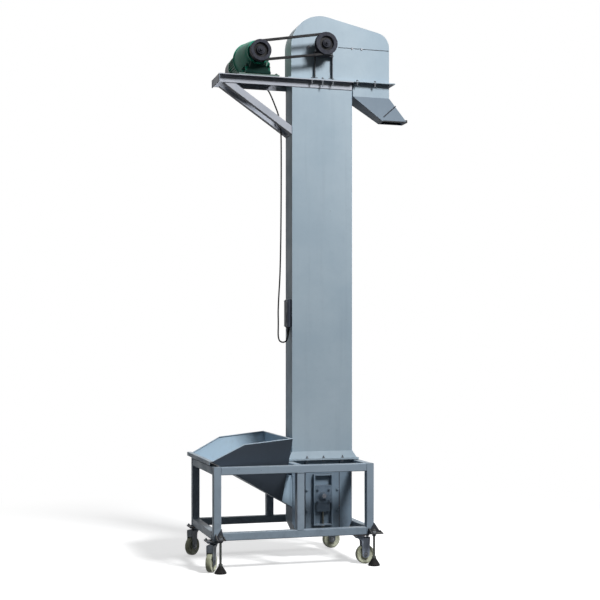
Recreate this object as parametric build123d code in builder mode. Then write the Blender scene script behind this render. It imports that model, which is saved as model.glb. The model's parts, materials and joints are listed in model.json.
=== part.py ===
from build123d import *
import math
import os

os.makedirs("parts", exist_ok=True)

# A mobile bucket elevator: a square tube base frame on four swivel castors and two front
# jack feet, a feed hopper and boot inside the frame, a tall sheet metal casing, and a head
# with its belt drive, gearmotor platform and discharge chute.
# Millimetres, +Z up, +X from the hopper end to the chute end, -Y the belt drive side.

# Base frame
frame_length = 1070.0
frame_depth = 746.0
frame_bottom = 195.0
frame_top = 660.0
tube = 50.0
tube_corner = 5.0
mid_rear_shift = 20.0

# Casing, boot and hopper sheet
sheet = 3.0
column_width = 420.0
column_depth = 160.0
column_right_inset = 54.0
boot_bottom = 172.0
boot_shoulder = 248.0
boot_slope = 35.0
boot_flange_thickness = 5.0
boot_flange_lip = 23.0
foot_flange_thickness = 12.0
foot_flange_side_lip = 40.0
foot_flange_front_lip = 30.0
foot_skirt_height = 45.0
foot_skirt_edge = 12.0

hopper_left_height = 37.0
hopper_left_inset = 30.0
hopper_bend_x = 200.0
hopper_bend_height = 140.0
hopper_end_gap = 81.0
hopper_end_height = 173.0
hopper_lip_width = 28.0
hopper_lip_drop = 22.0
throat_width = 144.0
throat_bottom = 354.0
throat_top = 560.0

# Take-up of the tail shaft
tail_x_from_column = 209.0
tail_z = 426.0
shaft_diameter = 30.0
shaft_clearance = 0.1
shaft_chamfer = 2.0
guide_bottom = 228.0
guide_top = 569.0
guide_plate = 8.0
guide_depth = 32.0
slide_clearance = 1.0
takeup_block_width = 113.0
takeup_block_below = 49.0
takeup_block_above = 69.0
takeup_block_depth = 30.0
takeup_foot_height = 57.0
takeup_foot_width = 96.0
takeup_foot_depth = 20.0
takeup_boss_diameter = 62.0
takeup_boss_height = 8.0
takeup_travel_down = 30.0
takeup_travel_up = 40.0
takeup_screw_diameter = 16.0
takeup_screw_end = 168.0
takeup_screw_head = 12.0
takeup_screw_head_width = 24.0
shaft_slot_clearance = 6.0
tail_shaft_overhang = 14.0

# Platform, braces and head flange
platform_z = 3210.0
head_flange_thickness = 6.0
head_flange_front_lip = 38.0
head_flange_left_lip = 36.0
head_flange_right_lip = 32.0
angle_vertical_leg = 50.0
angle_flat_leg = 40.0
angle_thickness = 5.0
platform_length = 505.0
brace_thickness = 4.0
brace_leg = 40.0
brace_low_z = 2842.0
brace_band = 53.0
brace_reach = 468.0
brace_leg_end_gap = 8.0
brace_tie_thickness = 6.0
brace_tie_height = 58.0

# Head housing, outlined by two round corners and its flat foot
head_left_overhang = 6.0
head_round_radius = 213.0
head_round_x = 207.0
head_round_z = 3432.0
head_corner_radius = 100.0
head_corner_z = 3463.3
head_shaft_x = 209.0
head_shaft_z = 3437.0
head_shaft_hole = 50.0
outline_foot = 1.0
bearing_height = 60.0
bearing_diameter = 104.0
bearing_depth = 36.0
bearing_foot_height = 18.0
pedestal_width = 128.0
pedestal_bar = 6.0
pedestal_bar_depth = 20.0
pedestal_shift = 6.0
pedestal_depth = 32.0
pedestal_cap = 10.0
bearing_gap = 4.0

# Discharge box and chute
discharge_gap = 8.0
discharge_width = 260.0
discharge_depth = 90.0
chute_drop = 153.0
mouth_offset = 228.0
mouth_length = 176.0
mouth_width = 100.0

# Belt drive
pulley_plane_gap = 91.0
pulley_width = 40.0
head_pulley_diameter = 150.0
motor_pulley_diameter = 140.0
pulley_recess = 96.0
pulley_hub = 56.0
pulley_web = 10.0
groove_width = 24.0
groove_depth = 16.0
belt_width = 22.0
belt_height = 14.0
belt_clearance = 0.5
shaft_proud = 2.0

# Gearmotor on its base plate
motor_from_column = 241.0
motor_base_thickness = 14.0
motor_base_length = 274.0
motor_base_gap = 96.0
motor_base_inset = 10.0
shaft_height = 138.0
gearbox_gap = 18.0
gearbox_cover_radius = 92.0
gearbox_cover_length = 20.0
gearbox_neck_radius = 84.0
gearbox_cone_radius = 106.0
gearbox_cone_length = 122.0
gearbox_ring_radius = 112.0
gearbox_ring_length = 120.0
gearbox_rim_radius = 118.0
gearbox_rim_length = 14.0
gearbox_flange_radius = 104.0
gearbox_flange_length = 16.0
socket_past_cover = 10.0
foot_top_width = 104.0
foot_bottom_width = 170.0
foot_pad_height = 16.0
foot_length = 150.0
foot_setback = 16.0
motor_length = 226.0
motor_core_radius = 86.0
motor_radius = 96.0
motor_fins = 36
motor_fin_thickness = 3.0
motor_shield = 18.0
fin_root = 4.0
cowl_length = 118.0
cowl_radius = 93.0
cowl_edge = 14.0
terminal_width = 64.0
terminal_gland_inset = 15.0
terminal_length = 110.0
terminal_height = 100.0
terminal_setback = 30.0
terminal_drop = 36.0

# Switch box on the casing's left wall
switch_width = 90.0
switch_proud = 24.0
switch_bottom = 1556.0
switch_height = 184.0
switch_front_inset = 15.0
switch_corner = 4.0
gland_diameter = 16.0
gland_length = 24.0
gland_from_wall = 12.0
cable_diameter = 10.0
cable_share = 0.45
cable_drop = 34.0
cable_loop_radius = 35.0
cable_loop_z = 1468.8
cable_loop_dip = 20.2

# Castors
castor_inset_side = 45.0
castor_plate = 104.0
castor_plate_thickness = 6.0
castor_trail = 38.0
castor_gap = 0.5
race_diameter = 72.0
race_height = 12.0
crown_height = 7.0
crown_back = 28.0
fork_leg = 4.0
fork_clearance = 3.0
fork_leg_start = 8.0
fork_leg_width = 60.0
fork_end_radius = 24.0
wheel_diameter = 125.0
wheel_width = 36.0
wheel_edge = 6.0
axle_diameter = 12.0
axle_head = 20.0
axle_head_height = 5.0
wheel_bore_clearance = 0.1

# Jack feet at the two front corners
jack_edge_gap = 16.0
jack_offset = 46.0
jack_rod_diameter = 16.0
jack_rod_top = 236.0
jack_plate_gap = 10.0
jack_plate_thickness = 6.0
jack_plate_left = 40.0
jack_plate_right = {"left": 16.0, "right": 42.0}
jack_plate_reach = 66.0
jack_gusset = 5.0
jack_gusset_height = 62.0
jack_end_rib_height = 31.0
jack_far_rib_height = 12.0
jack_nut_width = 27.0
jack_nut_height = 12.0
foot_radius = 38.0
foot_rim = 8.0
foot_height = 48.0
foot_neck_radius = 13.0

# Each castor: name, end, side, how far in from that end it swivels, and how it trails at rest
castors = [
    ("front_left", "left", "front", 8.0, 237.0),
    ("front_right", "right", "front", 86.0, 0.0),
    ("rear_left", "left", "rear", 22.0, 222.0),
    ("rear_right", "right", "rear", 35.0, 185.0),
]

# The origin stands on the floor under the middle of everything, so the frame's place
# follows from how far the furthest pieces reach past it on each side.
wheel_radius = wheel_diameter / 2


def reach_left(inset, heading):
    """How far a left castor's wheel reaches past the frame's left end."""
    turn = math.radians(heading)
    half_wheel = wheel_radius * abs(math.cos(turn)) + wheel_width / 2 * abs(math.sin(turn))
    return half_wheel - castor_trail * math.cos(turn) - inset


left_reach = max(reach_left(inset, heading) for _, end, _, inset, heading in castors if end == "left")
right_reach = discharge_gap + mouth_offset + mouth_length - column_right_inset
front_reach = jack_offset + foot_radius
column_setback = (frame_depth - column_depth) / 2
gearbox_setback = column_setback - pulley_plane_gap + pulley_width / 2 + gearbox_gap
gearbox_body = gearbox_cover_length + gearbox_cone_length + gearbox_ring_length
gearbox_length = gearbox_body + gearbox_flange_length
rear_reach = gearbox_setback + gearbox_length + motor_length + cowl_length - frame_depth

x_left = left_reach - (left_reach + frame_length + right_reach) / 2
x_right = x_left + frame_length
y_front = front_reach - (front_reach + frame_depth + rear_reach) / 2
y_rear = y_front + frame_depth
y_mid = (y_front + y_rear) / 2

column_right = x_right - column_right_inset
column_left = column_right - column_width
mid_left = column_left - tube
mid_right = column_left
column_front = y_mid - column_depth / 2
column_rear = y_mid + column_depth / 2
column_bottom = frame_top + boot_flange_thickness + foot_flange_thickness
head_bottom = platform_z + head_flange_thickness


def block(x0, x1, y0, y1, z0, z1, mode=Mode.ADD):
    with Locations(((x0 + x1) / 2, (y0 + y1) / 2, (z0 + z1) / 2)):
        Box(x1 - x0, y1 - y0, z1 - z0, mode=mode)


def rod_y(x, z, diameter, y0, y1, mode=Mode.ADD):
    with Locations((x, (y0 + y1) / 2, z)):
        Cylinder(diameter / 2, y1 - y0, rotation=(90, 0, 0), mode=mode)


def rod_z(x, y, diameter, z0, z1, mode=Mode.ADD):
    with Locations((x, y, (z0 + z1) / 2)):
        Cylinder(diameter / 2, z1 - z0, mode=mode)


def flat_sheet(corners, thickness):
    """A flat sheet over a ring of corners, made thick on the side the ring turns to."""
    first, second, third = (Vector(*corner) for corner in corners[:3])
    normal = (second - first).cross(third - second).normalized()
    base = Plane(origin=first, x_dir=second - first, z_dir=normal)
    with BuildPart() as flat:
        with BuildSketch(base):
            with BuildLine():
                Polyline(*[base.to_local_coords(Vector(*corner)) for corner in corners], close=True)
            make_face()
        extrude(amount=thickness)
    return flat.part


def write(piece, name):
    piece.part.label = name
    export_step(piece.part, f"parts/{name}.step")


# Base frame: four corner posts, two mid posts, and rails between them
with BuildPart() as corner_posts:
    for x in (x_left, x_right - tube):
        for y in (y_front, y_rear - tube):
            block(x, x + tube, y, y + tube, frame_bottom, frame_top)
    fillet(corner_posts.edges().filter_by(Axis.Z), tube_corner)
write(corner_posts, "corner_posts")

with BuildPart() as mid_posts:
    for y, shift in ((y_front, 0), (y_rear - tube, mid_rear_shift)):
        block(mid_left - shift, mid_right - shift, y, y + tube, frame_bottom + tube, frame_top - tube)
    fillet(mid_posts.edges().filter_by(Axis.Z), tube_corner)
write(mid_posts, "mid_posts")

with BuildPart() as side_rails:
    for y in (y_front, y_rear - tube):
        for z in (frame_bottom, frame_top - tube):
            block(x_left + tube, x_right - tube, y, y + tube, z, z + tube)
    fillet(side_rails.edges().filter_by(Axis.X), tube_corner)
write(side_rails, "side_rails")

with BuildPart() as cross_rails:
    for x in (x_left, x_right - tube):
        for z in (frame_bottom, frame_top - tube):
            block(x, x + tube, y_front + tube, y_rear - tube, z, z + tube)
    block(mid_left, mid_right, y_front + tube, y_rear - tube, frame_top - tube, frame_top)
    fillet(cross_rails.edges().filter_by(Axis.Y), tube_corner)
write(cross_rails, "cross_rails")


# Castors: a fixed top plate each, then a swivelling fork and its wheel
def castor_place(end, side, inset):
    x = x_left + inset if end == "left" else x_right - inset
    y = y_front + castor_inset_side if side == "front" else y_rear - castor_inset_side
    return x, y


plate_bottom = frame_bottom - castor_plate_thickness
with BuildPart() as castor_plates:
    for name, end, side, inset, heading in castors:
        x, y = castor_place(end, side, inset)
        half = castor_plate / 2
        block(x - half, x + half, y - half, y + half, plate_bottom, frame_bottom)
write(castor_plates, "castor_plates")

race_bottom = plate_bottom - castor_gap - race_height
crown_bottom = race_bottom - crown_height
leg_inner = wheel_width / 2 + fork_clearance
leg_outer = leg_inner + fork_leg
leg_middle = fork_leg_start + fork_leg_width / 2
crown_length = crown_back + fork_leg_start + fork_leg_width
crown_middle = crown_length / 2 - crown_back

for name, end, side, inset, heading in castors:
    x, y = castor_place(end, side, inset)
    # In the castor's own plane X is the way the wheel trails and Y is along the axle.
    turned = Plane(origin=(x, y, 0), x_dir=Vector(1, 0, 0).rotate(Axis.Z, heading), z_dir=(0, 0, 1))
    with BuildPart(turned) as fork:
        with Locations((0, 0, race_bottom + race_height / 2)):
            Cylinder(race_diameter / 2, race_height)
        with Locations((crown_middle, 0, crown_bottom + crown_height / 2)):
            Box(crown_length, 2 * leg_outer, crown_height)
    side_plane = Plane(origin=turned.from_local_coords((0, 0, 0)), x_dir=turned.x_dir, z_dir=-turned.y_dir)
    with BuildPart() as legs:
        for offset in (-leg_outer, leg_inner):
            with BuildSketch(side_plane.offset(offset)):
                with Locations((castor_trail, wheel_radius)):
                    Circle(fork_end_radius)
                with Locations((leg_middle, crown_bottom)):
                    Rectangle(fork_leg_width, crown_height)
                make_hull()
            extrude(amount=fork_leg)
        with BuildSketch(side_plane.offset(-leg_outer)):
            with Locations((castor_trail, wheel_radius)):
                Circle(axle_diameter / 2)
        extrude(amount=2 * leg_outer)
        for offset in (-leg_outer - axle_head_height, leg_outer):
            with BuildSketch(side_plane.offset(offset)):
                with Locations((castor_trail, wheel_radius)):
                    RegularPolygon(axle_head / 2, 6)
            extrude(amount=axle_head_height)
    with BuildPart() as castor_fork:
        add(fork.part)
        add(legs.part)
    write(castor_fork, f"castor_fork_{name}")

    with BuildPart() as wheel:
        with BuildSketch(side_plane.offset(-wheel_width / 2)):
            with Locations((castor_trail, wheel_radius)):
                Circle(wheel_radius)
        extrude(amount=wheel_width)
        fillet(wheel.edges(), wheel_edge)
        with BuildSketch(side_plane.offset(-wheel_width / 2)):
            with Locations((castor_trail, wheel_radius)):
                Circle(axle_diameter / 2 + wheel_bore_clearance)
        extrude(amount=wheel_width, mode=Mode.SUBTRACT)
    write(wheel, f"castor_wheel_{name}")

# Jack feet: a gusseted bracket on each front post, a threaded rod and a rubber foot
post_edges = {"left": x_left + tube, "right": x_right}
jack_plate_z = frame_bottom + jack_plate_gap
jack_plate_top = jack_plate_z + jack_plate_thickness
jack_y = y_front - jack_offset
with BuildPart() as jack_brackets:
    for name, edge in post_edges.items():
        axis_x = edge - jack_edge_gap
        left, right = edge - jack_plate_left, edge + jack_plate_right[name]
        block(left, right, y_front - jack_plate_reach, y_front, jack_plate_z, jack_plate_top)
        with BuildSketch(Plane.XZ.offset(-y_front)):
            with BuildLine():
                Polyline(
                    (left, jack_plate_top),
                    (right, jack_plate_top),
                    (edge, jack_plate_top + jack_gusset_height),
                    close=True,
                )
            make_face()
        extrude(amount=jack_gusset)
        ribs = ((left, jack_end_rib_height), (right - jack_gusset, jack_far_rib_height))
        for side_x, rib_height in ribs:
            with BuildSketch(Plane.YZ.offset(side_x)):
                with BuildLine():
                    Polyline(
                        (y_front - jack_gusset, jack_plate_top),
                        (y_front - jack_plate_reach, jack_plate_top),
                        (y_front - jack_gusset, jack_plate_top + rib_height),
                        close=True,
                    )
                make_face()
            extrude(amount=jack_gusset)
        with BuildSketch(Plane.XY.offset(jack_plate_z - jack_nut_height)):
            with Locations((axis_x, jack_y)):
                RegularPolygon(jack_nut_width / 2, 6)
        extrude(amount=jack_nut_height)
        hole = jack_rod_diameter + 2 * shaft_clearance
        rod_z(axis_x, jack_y, hole, jack_plate_z - jack_nut_height, jack_plate_top, Mode.SUBTRACT)
write(jack_brackets, "jack_brackets")

for name, edge in post_edges.items():
    axis_x = edge - jack_edge_gap
    with BuildPart() as jack_screw:
        rod_z(axis_x, jack_y, jack_rod_diameter, foot_height, jack_rod_top)
    write(jack_screw, f"jack_screw_{name}")

    with BuildPart() as jack_foot:
        with BuildSketch(Plane.XZ.offset(-jack_y)):
            with BuildLine():
                Polyline(
                    (axis_x, 0),
                    (axis_x + foot_radius, 0),
                    (axis_x + foot_radius, foot_rim),
                    (axis_x + foot_neck_radius, foot_height),
                    (axis_x, foot_height),
                    close=True,
                )
            make_face()
        revolve(axis=Axis((axis_x, jack_y, 0), (0, 0, 1)))
    write(jack_foot, f"jack_foot_{name}")

# Boot: sheet panels, with the throat cut in its left end and slots for the tail shaft.
# Below the shoulder both ends slope inwards to a narrower floor.
tail_x = column_left + tail_x_from_column
slot_half = shaft_diameter / 2 + shaft_slot_clearance
floor_left = column_left + boot_slope
floor_right = column_right - boot_slope
with BuildPart() as boot_side_panels:
    for y in (column_front, column_rear - sheet):
        with BuildSketch(Plane.XZ.offset(-y - sheet)):
            with BuildLine():
                Polyline(
                    (column_left, frame_top),
                    (column_left, boot_shoulder),
                    (floor_left, boot_bottom),
                    (floor_right, boot_bottom),
                    (column_right, boot_shoulder),
                    (column_right, frame_top),
                    close=True,
                )
            make_face()
        extrude(amount=sheet)
        block(
            tail_x - slot_half,
            tail_x + slot_half,
            y,
            y + sheet,
            tail_z - takeup_travel_down - slot_half,
            tail_z + takeup_travel_up + slot_half,
            Mode.SUBTRACT,
        )
write(boot_side_panels, "boot_side_panels")

inner_front = column_front + sheet
inner_rear = column_rear - sheet
with BuildPart() as boot_end_panels:
    for x in (column_left, column_right - sheet):
        block(x, x + sheet, inner_front, inner_rear, boot_shoulder, frame_top)
    half = throat_width / 2
    block(
        column_left,
        column_left + sheet,
        y_mid - half,
        y_mid + half,
        throat_bottom,
        throat_top,
        Mode.SUBTRACT,
    )
write(boot_end_panels, "boot_end_panels")

slope_run = sheet + boot_slope * (1 - sheet / (boot_shoulder - boot_bottom))
with BuildPart() as boot_floor:
    with BuildSketch(Plane.XZ.offset(-inner_rear)):
        with BuildLine():
            Polyline(
                (column_left, boot_shoulder),
                (floor_left, boot_bottom),
                (floor_right, boot_bottom),
                (column_right, boot_shoulder),
                (column_right - sheet, boot_shoulder),
                (column_right - slope_run, boot_bottom + sheet),
                (column_left + slope_run, boot_bottom + sheet),
                (column_left + sheet, boot_shoulder),
                close=True,
            )
        make_face()
    extrude(amount=inner_rear - inner_front)
write(boot_floor, "boot_floor")


def duct_window(z0, z1):
    """The casing's clear inside, cut through whatever flange the open block holds."""
    block(column_left + sheet, column_right - sheet, inner_front, inner_rear, z0, z1, Mode.SUBTRACT)


flange_left = column_left - foot_flange_side_lip
flange_right = column_right + foot_flange_side_lip
with BuildPart() as boot_flange:
    lip = boot_flange_lip
    top = frame_top + boot_flange_thickness
    block(flange_left, flange_right, column_front - lip, column_rear + lip, frame_top, top)
    duct_window(frame_top, top)
write(boot_flange, "boot_flange")

with BuildPart() as foot_flange:
    low = frame_top + boot_flange_thickness
    lip = foot_flange_front_lip
    block(flange_left, flange_right, column_front - lip, column_rear + lip, low, column_bottom)
    middle = ((flange_left + flange_right) / 2, y_mid)
    with BuildSketch(Plane.XY.offset(column_bottom)):
        with Locations(middle):
            Rectangle(
                flange_right - flange_left - 2 * foot_skirt_edge,
                column_depth + 2 * (lip - foot_skirt_edge),
            )
    with BuildSketch(Plane.XY.offset(column_bottom + foot_skirt_height)):
        with Locations(middle):
            Rectangle(column_width + 2 * sheet, column_depth + 2 * sheet)
    loft()
    block(
        column_left,
        column_right,
        column_front,
        column_rear,
        column_bottom,
        column_bottom + foot_skirt_height,
        Mode.SUBTRACT,
    )
    duct_window(low, column_bottom)
write(foot_flange, "foot_flange")

# Take-up: guide frames on the boot, bearing blocks that slide in them, and their screws
half_block = takeup_block_width / 2
guide_inner = half_block + slide_clearance
guide_outer = guide_inner + guide_plate
block_y = guide_depth / 2 + slide_clearance
screw_places = [(tail_x, column_front - block_y), (tail_x, column_rear + block_y)]
with BuildPart() as takeup_guides:
    guide_spans = ((column_front - guide_depth, column_front), (column_rear, column_rear + guide_depth))
    for y0, y1 in guide_spans:
        block(tail_x - guide_outer, tail_x + guide_outer, y0, y1, guide_bottom, guide_top)
        block(
            tail_x - guide_inner,
            tail_x + guide_inner,
            y0,
            y1,
            guide_bottom + guide_plate,
            guide_top - guide_plate,
            Mode.SUBTRACT,
        )
    for x, y in screw_places:
        hole = takeup_screw_diameter + 2 * shaft_clearance
        rod_z(x, y, hole, guide_bottom, guide_bottom + guide_plate, Mode.SUBTRACT)
write(takeup_guides, "takeup_guides")

block_low = tail_z - takeup_block_below
block_high = tail_z + takeup_block_above
bore = shaft_diameter + 2 * shaft_clearance
with BuildPart() as takeup_blocks:
    for x, y in screw_places:
        half_depth = takeup_block_depth / 2
        block(x - half_block, x + half_block, y - half_depth, y + half_depth, block_low, block_high)
        outward = -1 if y < y_mid else 1
        face = y + outward * half_depth
        ends = sorted((face, face + outward * takeup_boss_height))
        rod_y(x, tail_z, takeup_boss_diameter, *ends)
        half_foot = takeup_foot_width / 2
        half_foot_depth = takeup_foot_depth / 2
        foot_low = block_low - takeup_foot_height
        block(x - half_foot, x + half_foot, y - half_foot_depth, y + half_foot_depth, foot_low, block_low)
        cut = half_depth + takeup_boss_height
        rod_y(x, tail_z, bore, y - cut, y + cut, Mode.SUBTRACT)
write(takeup_blocks, "takeup_blocks")

with BuildPart() as takeup_screws:
    for x, y in screw_places:
        rod_z(x, y, takeup_screw_diameter, takeup_screw_end, block_low - takeup_foot_height)
        with BuildSketch(Plane.XY.offset(takeup_screw_end)):
            with Locations((x, y)):
                RegularPolygon(takeup_screw_head_width / 2, 6)
        extrude(amount=takeup_screw_head)
write(takeup_screws, "takeup_screws")

with BuildPart() as tail_shaft:
    reach = block_y + takeup_block_depth / 2 + takeup_boss_height + tail_shaft_overhang
    rod_y(tail_x, tail_z, shaft_diameter, column_front - reach, column_rear + reach)
    chamfer(tail_shaft.edges().filter_by(GeomType.CIRCLE), shaft_chamfer)
write(tail_shaft, "tail_shaft")

# Hopper: sloping floor down to the throat, flared side walls, end wall, neck and left lip
floor_left_z = frame_top + hopper_left_height
throat_half = throat_width / 2
end_x = column_left - hopper_end_gap
share = (end_x - x_left) / (column_left - x_left)
hopper_half = frame_depth / 2
floor_half = hopper_half - hopper_left_inset
end_half = floor_half + share * (throat_half - floor_half)
end_low = floor_left_z + share * (throat_bottom - floor_left_z)
bend_x = x_left + hopper_bend_x
bend_z = frame_top + hopper_bend_height
end_high = frame_top + hopper_end_height

floor_corners = [
    (x_left, y_mid - floor_half, floor_left_z),
    (x_left, y_mid + floor_half, floor_left_z),
    (column_left, y_mid + throat_half, throat_bottom),
    (column_left, y_mid - throat_half, throat_bottom),
]
with BuildPart() as hopper_floor:
    add(flat_sheet(floor_corners, sheet))
write(hopper_floor, "hopper_floor")

# Each side wall is one sheet twisted between its short left edge and its long right one.
twisted_walls = []
for side in (-1, 1):
    low_left = (x_left, y_mid + side * floor_half, floor_left_z)
    bend = (bend_x, y_mid + side * hopper_half, bend_z)
    high_right = (end_x, y_mid + side * hopper_half, end_high)
    low_right = (end_x, y_mid + side * end_half, end_low)
    rows = [[low_left, bend], [low_right, high_right]]
    twisted_walls.append(Face.make_bezier_surface(rows if side < 0 else [row[::-1] for row in rows]))
with BuildPart() as hopper_side_walls:
    thicken(twisted_walls, amount=sheet)
write(hopper_side_walls, "hopper_side_walls")

with BuildPart() as hopper_end_wall:
    corners = [
        (end_x, y_mid - end_half, end_low),
        (end_x, y_mid + end_half, end_low),
        (end_x, y_mid + hopper_half, end_high),
        (end_x, y_mid - hopper_half, end_high),
    ]
    add(flat_sheet(corners, sheet))
    # The throat's sides run on from the floor's edges, so the cut narrows towards the boot.
    neck_share = (end_x + sheet - x_left) / (column_left - x_left)
    neck_half = floor_half + neck_share * (throat_half - floor_half)
    neck_low = floor_left_z + neck_share * (throat_bottom - floor_left_z)
    with BuildSketch(Plane.XY.offset(end_low - sheet)):
        with BuildLine():
            Polyline(
                (end_x, y_mid - end_half),
                (end_x, y_mid + end_half),
                (end_x + sheet, y_mid + neck_half),
                (end_x + sheet, y_mid - neck_half),
                close=True,
            )
        make_face()
    extrude(amount=throat_top - end_low + sheet, mode=Mode.SUBTRACT)
write(hopper_end_wall, "hopper_end_wall")

neck_sheets = []
for side in (-1, 1):
    corners = [
        (end_x + sheet, y_mid + side * neck_half, neck_low),
        (column_left, y_mid + side * throat_half, throat_bottom),
        (column_left, y_mid + side * throat_half, throat_top),
        (end_x + sheet, y_mid + side * neck_half, throat_top),
    ]
    neck_sheets.append(flat_sheet(corners if side < 0 else corners[::-1], sheet))
with BuildPart() as hopper_neck_sides:
    for neck in neck_sheets:
        add(neck)
    block(column_left, column_right, column_front, column_rear, throat_bottom, throat_top, Mode.SUBTRACT)
write(hopper_neck_sides, "hopper_neck_sides")

with BuildPart() as hopper_neck_top:
    with BuildSketch(Plane.XY.offset(throat_top)):
        with BuildLine():
            Polyline(
                (end_x + sheet, y_mid - neck_half - sheet),
                (column_left, y_mid - throat_half - sheet),
                (column_left, y_mid + throat_half + sheet),
                (end_x + sheet, y_mid + neck_half + sheet),
                close=True,
            )
        make_face()
    extrude(amount=sheet)
write(hopper_neck_top, "hopper_neck_top")

with BuildPart() as hopper_lip:
    lip_left = x_left - hopper_lip_width
    block(lip_left, x_left, y_front, y_rear, floor_left_z, floor_left_z + sheet)
    block(lip_left, lip_left + sheet, y_front, y_rear, floor_left_z - hopper_lip_drop, floor_left_z)
write(hopper_lip, "hopper_lip")

# Casing: four plain sheet walls from the foot flange to the head flange
with BuildPart() as column_side_panels:
    for y in (column_front, column_rear - sheet):
        block(column_left, column_right, y, y + sheet, column_bottom, platform_z)
write(column_side_panels, "column_side_panels")

with BuildPart() as column_end_panels:
    for x in (column_left, column_right - sheet):
        block(x, x + sheet, inner_front, inner_rear, column_bottom, platform_z)
write(column_end_panels, "column_end_panels")

switch_x = column_left - switch_proud
switch_y = column_front + switch_front_inset
with BuildPart() as switch_box:
    top = switch_bottom + switch_height
    block(switch_x, column_left, switch_y, switch_y + switch_width, switch_bottom, top)
    front_edges = switch_box.faces().sort_by(Axis.X)[0].edges()
    fillet(front_edges, switch_corner)
    gland_x = column_left - gland_from_wall
    gland_y = switch_y + switch_width / 2
    rod_z(gland_x, gland_y, gland_diameter, switch_bottom - gland_length, switch_bottom)
write(switch_box, "switch_box")

# Head flange and the platform that carries the gearmotor
discharge_left = column_right + discharge_gap
discharge_right = discharge_left + discharge_width
discharge_low = platform_z - discharge_depth
flange_x0 = column_left - head_flange_left_lip
flange_x1 = discharge_right + head_flange_right_lip
with BuildPart() as head_flange:
    lip = head_flange_front_lip
    block(flange_x0, flange_x1, column_front - lip, column_rear + lip, platform_z, head_bottom)
    duct_window(platform_z, head_bottom)
    block(
        discharge_left + sheet,
        discharge_right - sheet,
        inner_front,
        inner_rear,
        platform_z,
        head_bottom,
        Mode.SUBTRACT,
    )
write(head_flange, "head_flange")

platform_x = column_left - platform_length
angle_left = platform_x + angle_thickness
angle_low = platform_z - angle_vertical_leg
platform_reach = angle_flat_leg
with BuildPart() as platform_frame:
    for face, outward in ((column_front, -1), (column_rear, 1)):
        upright = sorted((face, face + outward * angle_thickness))
        flat = sorted((face, face + outward * angle_flat_leg))
        block(angle_left, column_right, *upright, angle_low, platform_z)
        block(angle_left, column_right, *flat, platform_z - angle_thickness, platform_z)
    block(
        platform_x,
        angle_left,
        column_front - platform_reach,
        column_rear + platform_reach,
        angle_low,
        platform_z,
    )
write(platform_frame, "platform_frame")

# Braces: an angle each side, from the platform's angles down to the casing's left corners,
# with a tie across the casing between their feet
brace_slope = (angle_low - brace_low_z) / brace_reach
brace_top_x = column_left - brace_reach
band_run = brace_band / brace_slope
leg_rise = brace_thickness / math.cos(math.atan(brace_slope))
leg_end = column_left - brace_leg_end_gap


def brace_edge(x):
    return brace_low_z + (column_left - x) * brace_slope


with BuildPart() as braces:
    for face, inward in ((column_front, 1), (column_rear, -1)):
        front_plane = Plane.XZ.offset(-max(face, face + inward * brace_thickness))
        with BuildSketch(front_plane):
            with BuildLine():
                Polyline(
                    (brace_top_x, angle_low),
                    (column_left, brace_low_z),
                    (column_left, brace_low_z + brace_band),
                    (brace_top_x + band_run, angle_low),
                    close=True,
                )
            make_face()
        extrude(amount=brace_thickness)
        leg_plane = Plane.XZ.offset(-max(face, face + inward * brace_leg))
        with BuildSketch(leg_plane):
            with BuildLine():
                Polyline(
                    (brace_top_x, angle_low),
                    (leg_end, brace_edge(leg_end)),
                    (leg_end, brace_edge(leg_end) + leg_rise),
                    (brace_top_x + leg_rise / brace_slope, angle_low),
                    close=True,
                )
            make_face()
        extrude(amount=brace_leg)
    block(
        column_left - brace_tie_thickness,
        column_left,
        column_front + brace_thickness,
        column_rear - brace_thickness,
        brace_low_z,
        brace_low_z + brace_tie_height,
    )
write(braces, "braces")

# Head housing: two side plates and one sheet wrapped round between them
head_left = column_left - head_left_overhang
head_x = column_left + head_shaft_x
round_centre = (column_left + head_round_x, head_round_z)
corner_centre = (discharge_right - head_corner_radius, head_corner_z)


def head_outline(inset):
    """The head's side profile, drawn in by the inset everywhere but at its foot."""
    with Locations(round_centre):
        Circle(head_round_radius - inset)
    with Locations(corner_centre):
        Circle(head_corner_radius - inset)
    low_left = round_centre[0] - head_round_radius + inset
    with Locations(((low_left + discharge_right - inset) / 2, head_bottom + outline_foot / 2)):
        Rectangle(discharge_right - inset - low_left, outline_foot)
    make_hull()


with BuildPart() as head_side_plates:
    for y in (column_front + sheet, column_rear):
        with BuildSketch(Plane.XZ.offset(-y)):
            head_outline(0)
            with Locations((head_x, head_shaft_z)):
                Circle(head_shaft_hole / 2, mode=Mode.SUBTRACT)
        extrude(amount=sheet)
write(head_side_plates, "head_side_plates")

with BuildPart() as head_cover:
    with BuildSketch(Plane.XZ.offset(-inner_rear)):
        head_outline(0)
    extrude(amount=inner_rear - inner_front)
    with BuildSketch(Plane.XZ.offset(-inner_rear)):
        head_outline(sheet)
    extrude(amount=inner_rear - inner_front, mode=Mode.SUBTRACT)
write(head_cover, "head_cover")

# Head bearings on their pedestals, the head shaft and its pulley
seat_z = head_shaft_z - bearing_height
half_pedestal = pedestal_width / 2
with BuildPart() as bearing_pedestals:
    front_span = (column_front - pedestal_depth, column_front)
    rear_span = (column_rear, column_rear + pedestal_depth)
    pedestal_x = head_x + pedestal_shift
    for (y0, y1), wall in ((front_span, column_front), (rear_span, column_rear)):
        bar = sorted((wall, wall + math.copysign(pedestal_bar_depth, y0 + y1 - 2 * y_mid)))
        for x in (pedestal_x - half_pedestal, pedestal_x + half_pedestal - pedestal_bar):
            block(x, x + pedestal_bar, *bar, head_bottom, seat_z)
        block(pedestal_x - half_pedestal, pedestal_x + half_pedestal, y0, y1, seat_z - pedestal_cap, seat_z)
write(bearing_pedestals, "bearing_pedestals")

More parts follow.
